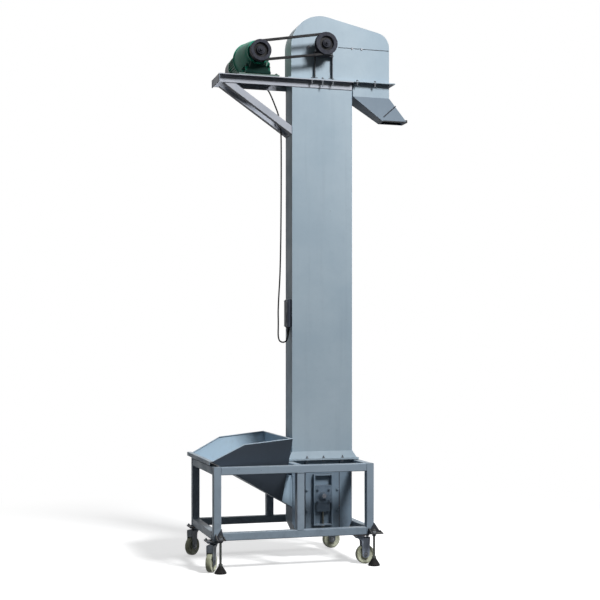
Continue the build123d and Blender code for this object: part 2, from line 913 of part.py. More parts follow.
with BuildPart() as head_bearings:
    front = column_front - bearing_gap - bearing_depth
    for y0 in (front, column_rear + bearing_gap):
        y1 = y0 + bearing_depth
        rod_y(head_x, head_shaft_z, bearing_diameter, y0, y1)
        block(head_x - half_pedestal, head_x + half_pedestal, y0, y1, seat_z, seat_z + bearing_foot_height)
        rod_y(head_x, head_shaft_z, bore, y0, y1, Mode.SUBTRACT)
write(head_bearings, "head_bearings")

pulley_y = column_front - pulley_plane_gap
pulley_half = pulley_width / 2
shaft_front = pulley_y - pulley_half - shaft_proud
shaft_rear = column_rear + bearing_gap + bearing_depth + tail_shaft_overhang
with BuildPart() as head_shaft:
    rod_y(head_x, head_shaft_z, shaft_diameter, shaft_front, shaft_rear)
    chamfer(head_shaft.edges().filter_by(GeomType.CIRCLE), shaft_chamfer)
write(head_shaft, "head_shaft")


def pulley_disc(x, z, diameter, bore_radius):
    """One dished pulley with a single groove, turned about its shaft."""
    radius = diameter / 2
    hub, recess, web = pulley_hub / 2, pulley_recess / 2, pulley_web / 2
    mouth = groove_width / 2
    root = belt_width / 2 + belt_clearance
    half_profile = [
        (-pulley_half, bore_radius),
        (-pulley_half, hub),
        (-web, hub),
        (-web, recess),
        (-pulley_half, recess),
        (-pulley_half, radius),
        (-mouth, radius),
        (-root, radius - groove_depth),
    ]
    other_half = [(-y, r) for y, r in half_profile[::-1]]
    middle = Plane(origin=(x, pulley_y, z), x_dir=(0, 1, 0), z_dir=(1, 0, 0))
    with BuildPart() as disc:
        with BuildSketch(middle):
            with BuildLine():
                Polyline(*half_profile, *other_half, close=True)
            make_face()
        revolve(axis=Axis((x, pulley_y, z), (0, 1, 0)))
    return disc.part


head_disc = pulley_disc(head_x, head_shaft_z, head_pulley_diameter, bore / 2)
with BuildPart() as head_pulley:
    add(head_disc)
write(head_pulley, "head_pulley")

# Gearmotor: base plate, foot mounted gearbox, finned motor, fan cowl and terminal box
drive_x = column_left - motor_from_column
base_top = platform_z + motor_base_thickness
drive_z = base_top + shaft_height
base_reach = angle_flat_leg - motor_base_inset
with BuildPart() as motor_base:
    block(
        column_left - motor_base_gap - motor_base_length,
        column_left - motor_base_gap,
        column_front - base_reach,
        column_rear + base_reach,
        platform_z,
        base_top,
    )
write(motor_base, "motor_base")

gearbox_front = pulley_y + pulley_half + gearbox_gap
gearbox_rear = gearbox_front + gearbox_length
socket_depth = gearbox_cover_length + socket_past_cover
with BuildPart() as gearbox:
    cover_rear = gearbox_front + gearbox_cover_length
    cone_rear = cover_rear + gearbox_cone_length
    ring_rear = cone_rear + gearbox_ring_length
    gearbox_profile = [
        (gearbox_front, 0),
        (gearbox_front, gearbox_cover_radius),
        (cover_rear, gearbox_cover_radius),
        (cover_rear, gearbox_neck_radius),
        (cone_rear, gearbox_cone_radius),
        (cone_rear, gearbox_rim_radius),
        (cone_rear + gearbox_rim_length, gearbox_rim_radius),
        (cone_rear + gearbox_rim_length, gearbox_ring_radius),
        (ring_rear - gearbox_rim_length, gearbox_ring_radius),
        (ring_rear - gearbox_rim_length, gearbox_rim_radius),
        (ring_rear, gearbox_rim_radius),
        (ring_rear, gearbox_flange_radius),
        (gearbox_rear, gearbox_flange_radius),
        (gearbox_rear, 0),
    ]
    with BuildSketch(Plane(origin=(drive_x, 0, drive_z), x_dir=(0, 1, 0), z_dir=(1, 0, 0))):
        with BuildLine():
            Polyline(*gearbox_profile, close=True)
        make_face()
    revolve(axis=Axis((drive_x, 0, drive_z), (0, 1, 0)))
    foot_front = gearbox_front + foot_setback
    foot_rear = foot_front + foot_length
    with BuildSketch(Plane.XZ.offset(-foot_rear)):
        with BuildLine():
            Polyline(
                (drive_x - foot_bottom_width / 2, base_top),
                (drive_x + foot_bottom_width / 2, base_top),
                (drive_x + foot_bottom_width / 2, base_top + foot_pad_height),
                (drive_x + foot_top_width / 2, drive_z - gearbox_neck_radius / 2),
                (drive_x - foot_top_width / 2, drive_z - gearbox_neck_radius / 2),
                (drive_x - foot_bottom_width / 2, base_top + foot_pad_height),
                close=True,
            )
        make_face()
    extrude(amount=foot_length)
    rod_y(drive_x, drive_z, bore, gearbox_front, gearbox_front + socket_depth, Mode.SUBTRACT)
write(gearbox, "gearbox")

motor_rear = gearbox_rear + motor_length
fin_depth = motor_radius - motor_core_radius
terminal_front = gearbox_rear + terminal_setback
terminal_rear = terminal_front + terminal_length
terminal_top = drive_z - terminal_drop + terminal_height / 2
terminal_low = terminal_top - terminal_height

with BuildPart() as motor_body:
    rod_y(drive_x, drive_z, 2 * motor_core_radius, gearbox_rear, motor_rear)
    front_shield = (gearbox_rear, gearbox_rear + motor_shield)
    rear_shield = (motor_rear - motor_shield, motor_rear)
    for y0, y1 in (front_shield, rear_shield):
        rod_y(drive_x, drive_z, 2 * motor_radius, y0, y1)
    for index in range(motor_fins):
        turn = math.radians(index * 360 / motor_fins)
        across, up = math.cos(turn), math.sin(turn)
        # No fin grows where the terminal box sits against the motor.
        if across > 0 and terminal_low < drive_z + motor_radius * up < terminal_top:
            continue
        fin_plane = Plane(origin=(drive_x, gearbox_rear, drive_z), x_dir=(across, 0, up), z_dir=(0, 1, 0))
        with BuildSketch(fin_plane):
            with Locations((motor_core_radius + fin_depth / 2 - fin_root / 2, 0)):
                Rectangle(fin_depth + fin_root, motor_fin_thickness)
        extrude(amount=motor_length)
write(motor_body, "motor_body")

cowl_rear = motor_rear + cowl_length
with BuildPart() as fan_cowl:
    rod_y(drive_x, drive_z, 2 * cowl_radius, motor_rear, cowl_rear)
    fillet(fan_cowl.edges().sort_by(Axis.Y)[-1], cowl_edge)
write(fan_cowl, "fan_cowl")

terminal_right = drive_x + motor_core_radius + terminal_width
cable_x = terminal_right - terminal_gland_inset
cable_y = (terminal_front + terminal_rear) / 2
with BuildPart() as terminal_box:
    block(drive_x, terminal_right, terminal_front, terminal_rear, terminal_low, terminal_top)
    core = 2 * (motor_radius + shaft_clearance)
    rod_y(drive_x, drive_z, core, terminal_front, terminal_rear, Mode.SUBTRACT)
    block(
        drive_x,
        drive_x + motor_core_radius / 2,
        terminal_front,
        terminal_rear,
        terminal_low,
        terminal_top,
        Mode.SUBTRACT,
    )
    rod_z(cable_x, cable_y, gland_diameter, terminal_low - gland_length, terminal_low)
write(terminal_box, "terminal_box")

# Drive pulley with its shaft stub, and the belt as one loop in both grooves
motor_disc = pulley_disc(drive_x, drive_z, motor_pulley_diameter, shaft_diameter / 2)
with BuildPart() as drive_pulley:
    add(motor_disc)
    rod_y(drive_x, drive_z, shaft_diameter, shaft_front, gearbox_front + socket_depth)
write(drive_pulley, "drive_pulley")

pulley_places = (
    (head_x, head_shaft_z, head_pulley_diameter / 2 - groove_depth + belt_clearance),
    (drive_x, drive_z, motor_pulley_diameter / 2 - groove_depth + belt_clearance),
)


def belt_outline(height):
    for x, z, inner_radius in pulley_places:
        with Locations((x, z)):
            Circle(inner_radius + height)
    make_hull()


with BuildPart() as drive_belt:
    belt_rear = pulley_y + belt_width / 2
    with BuildSketch(Plane.XZ.offset(-belt_rear)):
        belt_outline(belt_height)
    extrude(amount=belt_width)
    with BuildSketch(Plane.XZ.offset(-belt_rear)):
        belt_outline(0)
    extrude(amount=belt_width, mode=Mode.SUBTRACT)
write(drive_belt, "drive_belt")

# Discharge: a straight box under the head flange, then a chute narrowing to its mouth
with BuildPart() as discharge_box:
    block(discharge_left, discharge_right, column_front, column_rear, discharge_low, platform_z)
    block(
        discharge_left + sheet,
        discharge_right - sheet,
        inner_front,
        inner_rear,
        discharge_low,
        platform_z,
        Mode.SUBTRACT,
    )
write(discharge_box, "discharge_box")

mouth_z = discharge_low - chute_drop
mouth_x = discharge_left + mouth_offset + mouth_length / 2
with BuildPart() as discharge_chute:
    for inset, mode in ((0, Mode.ADD), (sheet, Mode.SUBTRACT)):
        with BuildSketch(Plane.XY.offset(discharge_low)):
            with Locations(((discharge_left + discharge_right) / 2, y_mid)):
                Rectangle(discharge_width - 2 * inset, column_depth - 2 * inset)
        with BuildSketch(Plane.XY.offset(mouth_z)):
            with Locations((mouth_x, y_mid)):
                Rectangle(mouth_length - 2 * inset, mouth_width - 2 * inset)
        loft(mode=mode)
write(discharge_chute, "discharge_chute")

# Motor cable: from the terminal box, down between the braces beside the casing, and
# round a drip loop up into the switch box. Each corner's arc is as large as its runs allow.
# The middle points are measured from the casing's front left edge.
cable_hang = [
    (-93.0, 272.0, 3184.0),
    (-81.5, 242.0, 3142.0),
    (-70.0, 192.0, 3073.9),
    (-61.5, 132.0, 3001.5),
    (-54.4, 99.0, 2924.7),
    (-51.2, 85.0, 2812.6),
    (-58.1, 75.0, 1979.2),
    (-79.2, 69.0, 1683.1),
    (-77.5, 65.0, 1580.0),
]
cable_route = [
    (cable_x, cable_y, terminal_low - gland_length),
    (cable_x, cable_y, terminal_low - gland_length - cable_drop),
    *[(column_left + x, column_front + y, z) for x, y, z in cable_hang],
    (gland_x - 2 * cable_loop_radius, gland_y, cable_loop_z),
    (gland_x - cable_loop_radius, gland_y, cable_loop_z - cable_loop_dip),
    (gland_x, gland_y, cable_loop_z),
    (gland_x, gland_y, switch_bottom - gland_length),
]


def corner_radii(points):
    radii = []
    for before, corner, after in zip(points, points[1:], points[2:]):
        first = Vector(*corner) - Vector(*before)
        second = Vector(*after) - Vector(*corner)
        half_turn = math.radians(first.get_angle(second)) / 2
        radii.append(cable_share * min(first.length, second.length) / math.tan(half_turn))
    return radii


cable_radii = corner_radii(cable_route)
print("cable corner radii", [round(radius, 1) for radius in cable_radii])
with BuildPart() as motor_cable:
    with BuildLine() as cable_line:
        FilletPolyline(*cable_route, radius=cable_radii)
    with BuildSketch(Plane(origin=cable_line.line @ 0, z_dir=cable_line.line % 0)):
        Circle(cable_diameter / 2)
    sweep()
cable_length = sum(edge.length for edge in cable_line.edges())
cable_section = math.pi * cable_diameter**2 / 4
cable_share_of_tube = motor_cable.part.volume / (cable_section * cable_length)
print("cable length", round(cable_length, 1))
print("cable volume over section times length", round(cable_share_of_tube, 5))
write(motor_cable, "motor_cable")
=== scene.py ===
import bpy
import bmesh
import json
import math
import random
from mathutils import Matrix, Vector


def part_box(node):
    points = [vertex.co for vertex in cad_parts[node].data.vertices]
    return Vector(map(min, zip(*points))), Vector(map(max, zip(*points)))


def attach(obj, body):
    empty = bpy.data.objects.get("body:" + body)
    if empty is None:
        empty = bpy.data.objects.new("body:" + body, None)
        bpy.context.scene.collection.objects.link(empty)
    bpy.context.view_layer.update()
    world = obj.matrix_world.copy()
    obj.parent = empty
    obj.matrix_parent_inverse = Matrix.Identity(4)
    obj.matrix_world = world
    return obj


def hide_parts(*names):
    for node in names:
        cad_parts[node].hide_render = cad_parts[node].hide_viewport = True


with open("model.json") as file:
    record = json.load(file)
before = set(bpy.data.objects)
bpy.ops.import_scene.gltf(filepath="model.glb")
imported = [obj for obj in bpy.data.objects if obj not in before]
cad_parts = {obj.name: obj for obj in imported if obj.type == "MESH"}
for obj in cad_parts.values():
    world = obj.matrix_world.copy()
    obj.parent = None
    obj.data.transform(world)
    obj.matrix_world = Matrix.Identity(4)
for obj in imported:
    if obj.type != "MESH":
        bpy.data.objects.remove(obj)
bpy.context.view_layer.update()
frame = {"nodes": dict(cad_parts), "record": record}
cadNodes = frame["nodes"]
random.seed(7)
print("frame loaded")

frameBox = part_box("corner_posts")
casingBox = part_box("column_side_panels")
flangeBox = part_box("head_flange")
leftX, frontY = frameBox[0][0], frameBox[0][1]
rightX, rearY = frameBox[1][0], frameBox[1][1]
midY = (frontY + rearY) / 2
casingLeft, casingRight = casingBox[0][0], casingBox[1][0]
casingFront, casingRear = casingBox[0][1], casingBox[1][1]

# Camera, set from the frame's front left corner on the floor
cameraLook = {"east": -1.5442, "north": -7.2761, "height": 1.3951, "turn": 16.17, "lens": 70.73, "shift": 0.0849}
cameraData = bpy.data.cameras.new("camera")
cameraData.lens = cameraLook["lens"]
cameraData.sensor_width = 36
cameraData.shift_y = cameraLook["shift"]
camera = bpy.data.objects.new("camera", cameraData)
camera.location = (leftX + cameraLook["east"], frontY + cameraLook["north"], cameraLook["height"])
camera.rotation_euler = (math.radians(90), 0, -math.radians(cameraLook["turn"]))
bpy.context.collection.objects.link(camera)
bpy.context.scene.camera = camera
bpy.context.scene.view_settings.view_transform = "Standard"
print("camera placed")


def linear(value):
    value /= 255
    return value / 12.92 if value <= 0.04045 else ((value + 0.055) / 1.055) ** 2.4


def tint(red, green, blue):
    return (linear(red), linear(green), linear(blue), 1.0)


def feed(tree, socket, value):
    if isinstance(value, bpy.types.NodeSocket):
        tree.links.new(value, socket)
    else:
        socket.default_value = value


def mixed(tree, factor, first, second, blend="MIX"):
    node = tree.nodes.new("ShaderNodeMix")
    node.data_type = "RGBA"
    node.blend_type = blend
    feed(tree, node.inputs[0], factor)
    feed(tree, node.inputs[6], first)
    feed(tree, node.inputs[7], second)
    return node.outputs[2]


def noise(tree, coords, scale, detail=3.0, rough=0.55, stretch=None):
    if stretch:
        mapping = tree.nodes.new("ShaderNodeMapping")
        mapping.inputs["Scale"].default_value = stretch
        tree.links.new(coords, mapping.inputs["Vector"])
        coords = mapping.outputs["Vector"]
    node = tree.nodes.new("ShaderNodeTexNoise")
    node.inputs["Scale"].default_value = scale
    node.inputs["Detail"].default_value = detail
    node.inputs["Roughness"].default_value = rough
    tree.links.new(coords, node.inputs["Vector"])
    return node.outputs["Fac"]


def ranged(tree, value, low, high, toLow=0.0, toHigh=1.0):
    node = tree.nodes.new("ShaderNodeMapRange")
    node.interpolation_type = "SMOOTHSTEP"
    tree.links.new(value, node.inputs[0])
    for index, number in enumerate((low, high, toLow, toHigh), start=1):
        node.inputs[index].default_value = number
    return node.outputs[0]


def product(tree, first, second):
    node = tree.nodes.new("ShaderNodeMath")
    node.operation = "MULTIPLY"
    feed(tree, node.inputs[0], first)
    feed(tree, node.inputs[1], second)
    return node.outputs[0]


def bumped(tree, shader, layers):
    normal = None
    for height, strength, distance in layers:
        node = tree.nodes.new("ShaderNodeBump")
        node.inputs["Strength"].default_value = strength
        node.inputs["Distance"].default_value = distance
        tree.links.new(height, node.inputs["Height"])
        if normal is not None:
            tree.links.new(normal, node.inputs["Normal"])
        normal = node.outputs["Normal"]
    tree.links.new(normal, shader.inputs["Normal"])


def startMaterial(name):
    material = bpy.data.materials.new(name)
    material.use_nodes = True
    tree = material.node_tree
    shader = tree.nodes["Principled BSDF"]
    coords = tree.nodes.new("ShaderNodeTexCoord").outputs["Object"]
    return material, tree, shader, coords


def upward(tree, low=0.35, high=0.95):
    geometry = tree.nodes.new("ShaderNodeNewGeometry")
    parts = tree.nodes.new("ShaderNodeSeparateXYZ")
    tree.links.new(geometry.outputs["Normal"], parts.inputs[0])
    return ranged(tree, parts.outputs["Z"], low, high)


def nearFloor(tree, coords, top):
    parts = tree.nodes.new("ShaderNodeSeparateXYZ")
    tree.links.new(coords, parts.inputs[0])
    return ranged(tree, parts.outputs["Z"], 0.0, top, 1.0, 0.0)


# Paint on steel: slow drift of shade, rain streaks, settled dust, floor grime, painted shade on downward-facing faces
# and small chips
def paint(name, look):
    material, tree, shader, coords = startMaterial(name)
    drift = ranged(tree, noise(tree, coords, 1.6, 4.0), 0.35, 0.68)
    colour = mixed(tree, drift, look["base"], look["shade"])
    streaks = ranged(tree, noise(tree, coords, 1.0, 4.0, 0.6, (26, 26, 1.1)), 0.5, 0.78)
    colour = mixed(tree, product(tree, streaks, look["streaks"]), colour, look["streakTint"])
    mottle = ranged(tree, noise(tree, coords, 34.0, 5.0, 0.7), 0.45, 0.75)
    colour = mixed(tree, product(tree, mottle, look["mottle"]), colour, look["streakTint"])
    dust = product(tree, upward(tree), ranged(tree, noise(tree, coords, 11.0, 5.0, 0.65), 0.3, 0.62))
    dust = product(tree, dust, look["dust"])
    colour = mixed(tree, dust, colour, look["dustTint"])
    grime = product(tree, nearFloor(tree, coords, 0.75), ranged(tree, noise(tree, coords, 14.0, 6.0, 0.7), 0.42, 0.7))
    colour = mixed(tree, product(tree, grime, look["grime"]), colour, look["grimeTint"])
    # Painted shade: faces that turn downwards are darkened towards the look's under tint
    under = product(tree, upward(tree, -0.08, -0.42), look["under"])
    colour = mixed(tree, under, colour, look["underShadeTint"])
    chips = ranged(tree, noise(tree, coords, 52.0, 3.0, 0.5), look["chipsFrom"], look["chipsFrom"] + 0.02)
    colour = mixed(tree, chips, colour, look["chipTint"])
    tree.links.new(colour, shader.inputs["Base Color"])
    gloss = ranged(tree, noise(tree, coords, 6.0, 4.0), 0.3, 0.7, look["rough"] - 0.05, look["rough"] + 0.09)
    tree.links.new(gloss, shader.inputs["Roughness"])
    shader.inputs["Specular IOR Level"].default_value = look["shine"]
    shader.inputs["Coat Weight"].default_value = look["coat"]
    shader.inputs["Coat Roughness"].default_value = 0.3
    bumped(tree, shader, [
        (noise(tree, coords, 2.3, 2.0), look["wave"], 0.012),
        (noise(tree, coords, 420.0, 2.0), look["peel"], 0.0006),
    ])
    return material


# Bare or plated steel and iron: mottled tone, fine brushing, and rust where the look asks for it
def metal(name, look):
    material, tree, shader, coords = startMaterial(name)
    drift = ranged(tree, noise(tree, coords, look["scale"], 5.0, 0.65), 0.35, 0.65)
    colour = mixed(tree, drift, look["base"], look["shade"])
    rust = ranged(tree, noise(tree, coords, look["scale"] * 1.7, 6.0, 0.7), look["rustFrom"], look["rustFrom"] + 0.12)
    colour = mixed(tree, rust, colour, look["rustTint"])
    dust = product(tree, product(tree, upward(tree), ranged(tree, noise(tree, coords, 15.0, 4.0), 0.3, 0.6)), look["dust"])
    colour = mixed(tree, dust, colour, look["dustTint"])
    tree.links.new(colour, shader.inputs["Base Color"])
    tree.links.new(ranged(tree, rust, 0.0, 1.0, look["metallic"], look["metallic"] * 0.15), shader.inputs["Metallic"])
    gloss = ranged(tree, noise(tree, coords, look["scale"] * 3, 4.0), 0.3, 0.7, look["rough"] - 0.08, look["rough"] + 0.12)
    tree.links.new(gloss, shader.inputs["Roughness"])
    shader.inputs["Specular IOR Level"].default_value = look["shine"]
    bumped(tree, shader, [
        (noise(tree, coords, look["grain"], 3.0, 0.6, look["brush"]), look["bump"], 0.0008),
    ])
    return material


# Rubber, moulded plastic and nylon: soft mottling, fine texture, scuffs and dust
def moulded(name, look):
    material, tree, shader, coords = startMaterial(name)
    drift = ranged(tree, noise(tree, coords, 18.0, 4.0), 0.35, 0.65)
    colour = mixed(tree, drift, look["base"], look["shade"])
    scuffs = ranged(tree, noise(tree, coords, 70.0, 5.0, 0.7, look["scuffStretch"]), 0.56, 0.72)
    colour = mixed(tree, product(tree, scuffs, look["scuffs"]), colour, look["scuffTint"])
    dust = product(tree, ranged(tree, noise(tree, coords, 24.0, 5.0, 0.7), 0.38, 0.7), look["dust"])
    colour = mixed(tree, dust, colour, look["dustTint"])
    tree.links.new(colour, shader.inputs["Base Color"])
    gloss = ranged(tree, noise(tree, coords, 40.0, 3.0), 0.3, 0.7, look["rough"] - 0.07, look["rough"] + 0.1)
    tree.links.new(gloss, shader.inputs["Roughness"])
    shader.inputs["Specular IOR Level"].default_value = look["shine"]
    bumped(tree, shader, [(noise(tree, coords, look["grain"], 3.0), look["bump"], 0.0006)])
    return material


casingLook = {
    "base": tint(163, 179, 190), "shade": tint(150, 168, 181), "streakTint": tint(136, 150, 164),
    "streaks": 0.22, "mottle": 0.12, "dust": 0.35, "dustTint": tint(176, 180, 178),
    "grime": 0.3, "grimeTint": tint(96, 104, 112), "chipsFrom": 0.75, "chipTint": tint(96, 100, 104),
    "rough": 0.5, "shine": 0.2, "coat": 0.0, "wave": 0.1, "peel": 0.12, "under": 0.6, "underShadeTint": tint(74, 80, 92),
}
frameLook = dict(casingLook, base=tint(150, 166, 180), shade=tint(137, 153, 168), grime=0.4, chipsFrom=0.72, mottle=0.2)
hopperLook = dict(
    casingLook, base=tint(164, 187, 204), shade=tint(152, 174, 192), chipsFrom=0.75, streaks=0.25, dust=0.1,
    shine=0.1, under=0.85,
)
# Head cover paint: a lighter copy of the casing paint, painted light on the rounded cover
litCoverLook = dict(casingLook, base=tint(204, 211, 218), shade=tint(190, 198, 206), under=0.2)
# Rim paint: a lighter copy of the hopper paint, a painted highlight where the folded rims catch the light
litRimLook = dict(hopperLook, base=tint(196, 210, 220), shade=tint(180, 196, 208))
platformLook = dict(casingLook, base=tint(176, 180, 189), shade=tint(160, 165, 175), dust=0.15, mottle=0.2, under=0.8)
baseLook = dict(casingLook, base=tint(104, 124, 116), shade=tint(84, 104, 98), dust=0.2, mottle=0.3)
# Gearbox foot green: a dark copy of the green, painted shade where the pulley shadows the foot; the gearmotor's bolts
# take it too
shadowGreenLook = dict(
    casingLook, base=tint(14, 48, 42), shade=tint(10, 36, 33), streakTint=tint(22, 66, 56), streaks=0.4, mottle=0.3,
    dust=0.05, grime=0.0, chipsFrom=0.78, rough=0.5, shine=0.08, wave=0.0, under=0.2, underShadeTint=tint(8, 34, 30),
)
# Boot paint: a darker copy of the casing paint, painted shade beneath the frame rails, with heavier grime
bootLook = dict(casingLook, base=tint(126, 144, 160), shade=tint(112, 130, 147), grime=0.65, mottle=0.25)
darkFrameLook = dict(
    casingLook, base=tint(62, 66, 74), shade=tint(50, 53, 60), streakTint=tint(80, 82, 86), mottle=0.3,
    dust=0.5, dustTint=tint(120, 118, 112), grime=0.5, grimeTint=tint(92, 84, 74), chipsFrom=0.68,
    chipTint=tint(110, 84, 66), rough=0.5, wave=0.0,
)
greenLook = dict(
    casingLook, base=tint(34, 150, 122), shade=tint(22, 120, 97), streakTint=tint(10, 70, 58), streaks=0.35,
    mottle=0.35, dust=0.12, dustTint=tint(96, 150, 130), grime=0.0, chipsFrom=0.76, chipTint=tint(30, 56, 50),
    rough=0.42, shine=0.12, coat=0.0, wave=0.0, peel=0.35, under=0.15, underShadeTint=tint(10, 90, 72),
)
cowlLook = dict(
    casingLook, base=tint(26, 28, 30), shade=tint(18, 20, 22), streakTint=tint(40, 44, 46), mottle=0.2,
    dust=0.08, dustTint=tint(112, 112, 108), grime=0.0, chipsFrom=0.72, chipTint=tint(90, 90, 90),
    rough=0.42, coat=0.1, wave=0.0, peel=0.2, under=0.3, underShadeTint=tint(12, 13, 15),
)
boltLook = {
    "base": tint(132, 136, 142), "shade": tint(98, 102, 108), "scale": 60.0, "metallic": 0.5, "rough": 0.46, "shine": 0.4,
    "rustFrom": 0.66, "rustTint": tint(120, 84, 60), "dust": 0.3, "dustTint": tint(150, 148, 142),
    "grain": 300.0, "brush": (1, 1, 1), "bump": 0.15,
}
shaftLook = dict(boltLook, base=tint(120, 124, 132), shade=tint(92, 96, 104), rustFrom=0.9, grain=90.0, brush=(8, 1, 8))
threadLook = dict(boltLook, base=tint(84, 88, 84), shade=tint(60, 64, 62), rustFrom=0.85, rough=0.55, metallic=0.25)
zincLook = dict(boltLook, base=tint(160, 170, 186), shade=tint(142, 152, 168), scale=24.0, metallic=0.1, rough=0.46, rustFrom=0.8)
forkLook = dict(zincLook, base=tint(112, 120, 128), shade=tint(88, 96, 104), metallic=0.1, dust=0.1)
castLook = dict(
    boltLook, base=tint(66, 68, 73), shade=tint(50, 52, 57), scale=22.0, metallic=0.35, rough=0.5,
    rustFrom=0.72, grain=260.0, bump=0.4, dust=0.35,
)
pulleyLook = dict(castLook, base=tint(42, 45, 56), shade=tint(32, 34, 43), metallic=0.0, rough=0.55, shine=0.16, bump=0.25, dust=0.1)
bearingLook = dict(castLook, base=tint(106, 122, 138), shade=tint(90, 106, 122), metallic=0.0, rustFrom=0.8, shine=0.25, bump=0.2)
rubberLook = {
    "base": tint(20, 20, 22), "shade": tint(15, 15, 17), "scuffs": 0.12, "scuffTint": tint(60, 58, 56),
    "scuffStretch": (1, 1, 1), "dust": 0.1, "dustTint": tint(92, 88, 82), "rough": 0.68, "shine": 0.2,
    "grain": 240.0, "bump": 0.35,
}
beltLook = dict(rubberLook, base=tint(15, 15, 19), shade=tint(10, 10, 13), scuffs=0.05, dust=0.03, grain=500.0, rough=0.6)
sheathLook = dict(rubberLook, base=tint(9, 9, 11), shade=tint(7, 7, 9), rough=0.6, shine=0.1, scuffs=0.05, dust=0.02, bump=0.1)
plasticLook = dict(rubberLook, base=tint(60, 66, 78), shade=tint(50, 56, 68), rough=0.5, shine=0.15, dust=0.05, bump=0.15)
wheelLook = dict(
    rubberLook, base=tint(214, 217, 196), shade=tint(198, 202, 178), scuffs=0.25, scuffTint=tint(132, 128, 110),
    dust=0.2, dustTint=tint(150, 144, 124), rough=0.46, shine=0.35, bump=0.2,
)
treadLook = dict(wheelLook, base=tint(186, 190, 164), shade=tint(164, 168, 142), dust=0.45, dustTint=tint(116, 112, 94))

casingPaint = paint("casingPaint", casingLook)
framePaint = paint("framePaint", frameLook)
hopperPaint = paint("hopperPaint", hopperLook)
darkPaint = paint("darkPaint", darkFrameLook)
bootPaint = paint("bootPaint", bootLook)
litRimPaint = paint("litRimPaint", litRimLook)
litCoverPaint = paint("litCoverPaint", litCoverLook)
platformPaint = paint("platformPaint", platformLook)
basePaint = paint("basePaint", baseLook)
shadedGreen = paint("shadedGreen", shadowGreenLook)
greenPaint = paint("greenPaint", greenLook)
cowlPaint = paint("cowlPaint", cowlLook)
boltSteel = metal("boltSteel", boltLook)
shaftSteel = metal("shaftSteel", shaftLook)
threadSteel = metal("threadSteel", threadLook)
zincSteel = metal("zincSteel", zincLook)
forkSteel = metal("forkSteel", forkLook)
castIron = metal("castIron", castLook)
pulleyIron = metal("pulleyIron", pulleyLook)
bearingIron = metal("bearingIron", bearingLook)
footRubber = moulded("footRubber", rubberLook)
treadNylon = moulded("treadNylon", treadLook)
beltRubber = moulded("beltRubber", beltLook)
cableSheath = moulded("cableSheath", sheathLook)
boxPlastic = moulded("boxPlastic", plasticLook)
wheelNylon = moulded("wheelNylon", wheelLook)

cadFinishes = {
    framePaint: "corner_posts mid_posts side_rails cross_rails hopper_lip discharge_chute",
    platformPaint: "platform_frame braces",
    basePaint: "motor_base",
    casingPaint: "column_side_panels column_end_panels foot_flange head_side_plates head_flange discharge_box",
    litCoverPaint: "head_cover",
    bootPaint: "boot_side_panels boot_end_panels boot_floor boot_flange takeup_guides",
    hopperPaint: "hopper_floor hopper_side_walls hopper_end_wall hopper_neck_sides hopper_neck_top",
    darkPaint: "castor_plates castor_fork_front_left castor_fork_rear_left castor_fork_rear_right jack_brackets "
    "bearing_pedestals",
    zincSteel: "castor_fork_front_right",
    wheelNylon: "castor_wheel_front_left castor_wheel_front_right castor_wheel_rear_left castor_wheel_rear_right",
    threadSteel: "jack_screw_left jack_screw_right takeup_screws",
    footRubber: "jack_foot_left jack_foot_right",
    beltRubber: "drive_belt",
    shaftSteel: "head_shaft tail_shaft",
    castIron: "head_bearings",
    pulleyIron: "head_pulley drive_pulley",
    bearingIron: "takeup_blocks",
    greenPaint: "gearbox motor_body terminal_box",
    cowlPaint: "fan_cowl",
    boxPlastic: "switch_box",
}
for material, names in cadFinishes.items():
    for node in names.split():
        for materialSlot in cadNodes[node].material_slots:
            materialSlot.material = material
print("materials made")


def finishPiece(name, mesh, material, body="frame", sharp=32):
    bmesh.ops.remove_doubles(mesh, verts=mesh.verts, dist=0.00002)
    data = bpy.data.meshes.new(name)
    mesh.to_mesh(data)
    mesh.free()
    data.materials.append(material)
    for polygon in data.polygons:
        polygon.use_smooth = True
    data.set_sharp_from_angle(angle=math.radians(sharp))
    piece = bpy.data.objects.new(name, data)
    bpy.context.collection.objects.link(piece)
    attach(piece, body)
    return piece


def facing(place, along):
    turn = Vector(along).to_track_quat("Z", "Y").to_matrix().to_4x4()
    return Matrix.Translation(Vector(place)) @ turn


def addBlock(mesh, low, high):
    low, high = Vector(low), Vector(high)
    place = Matrix.Translation((low + high) / 2) @ Matrix.Diagonal((*(high - low), 1))
    return bmesh.ops.create_cube(mesh, size=1, matrix=place)["verts"]


def addDisc(mesh, place, along, radius, depth, segments=20, topRadius=None):
    top = radius if topRadius is None else topRadius
    lift = facing(place, along) @ Matrix.Translation((0, 0, depth / 2))
    return bmesh.ops.create_cone(
        mesh, cap_ends=True, segments=segments, radius1=radius, radius2=top, depth=depth, matrix=lift
    )["verts"]


# A hexagon head with its chamfer, on a washer that rests on the surface
def addBolt(mesh, place, along, across=0.013, head=0.0055, washer=0.0018, stem=0.0):
    place, along = Vector(place), Vector(along).normalized()
    addDisc(mesh, place, along, across * 0.86, washer, 18)
    corner = across / math.sqrt(3)
    addDisc(mesh, place + along * washer, along, corner, head * 0.78, 6)
    addDisc(mesh, place + along * (washer + head * 0.78), along, corner, head * 0.22, 6, corner * 0.84)
    if stem:
        addDisc(mesh, place + along * (washer + head), along, across * 0.3, stem, 10)


# A weld bead as a run of flattened overlapping ripples
def addWeld(mesh, start, end, size=0.0035):
    start, end = Vector(start), Vector(end)
    run = end - start
    count = max(2, int(run.length / (size * 0.95)))
    turn = run.to_track_quat("X", "Z").to_matrix().to_4x4()
    for index in range(count + 1):
        spot = start + run * index / count
        swell = size * random.uniform(0.85, 1.1)
        place = Matrix.Translation(spot) @ turn @ Matrix.Diagonal((swell * 0.8, swell, swell, 1))
        bmesh.ops.create_icosphere(mesh, subdivisions=1, radius=1.0, matrix=place)


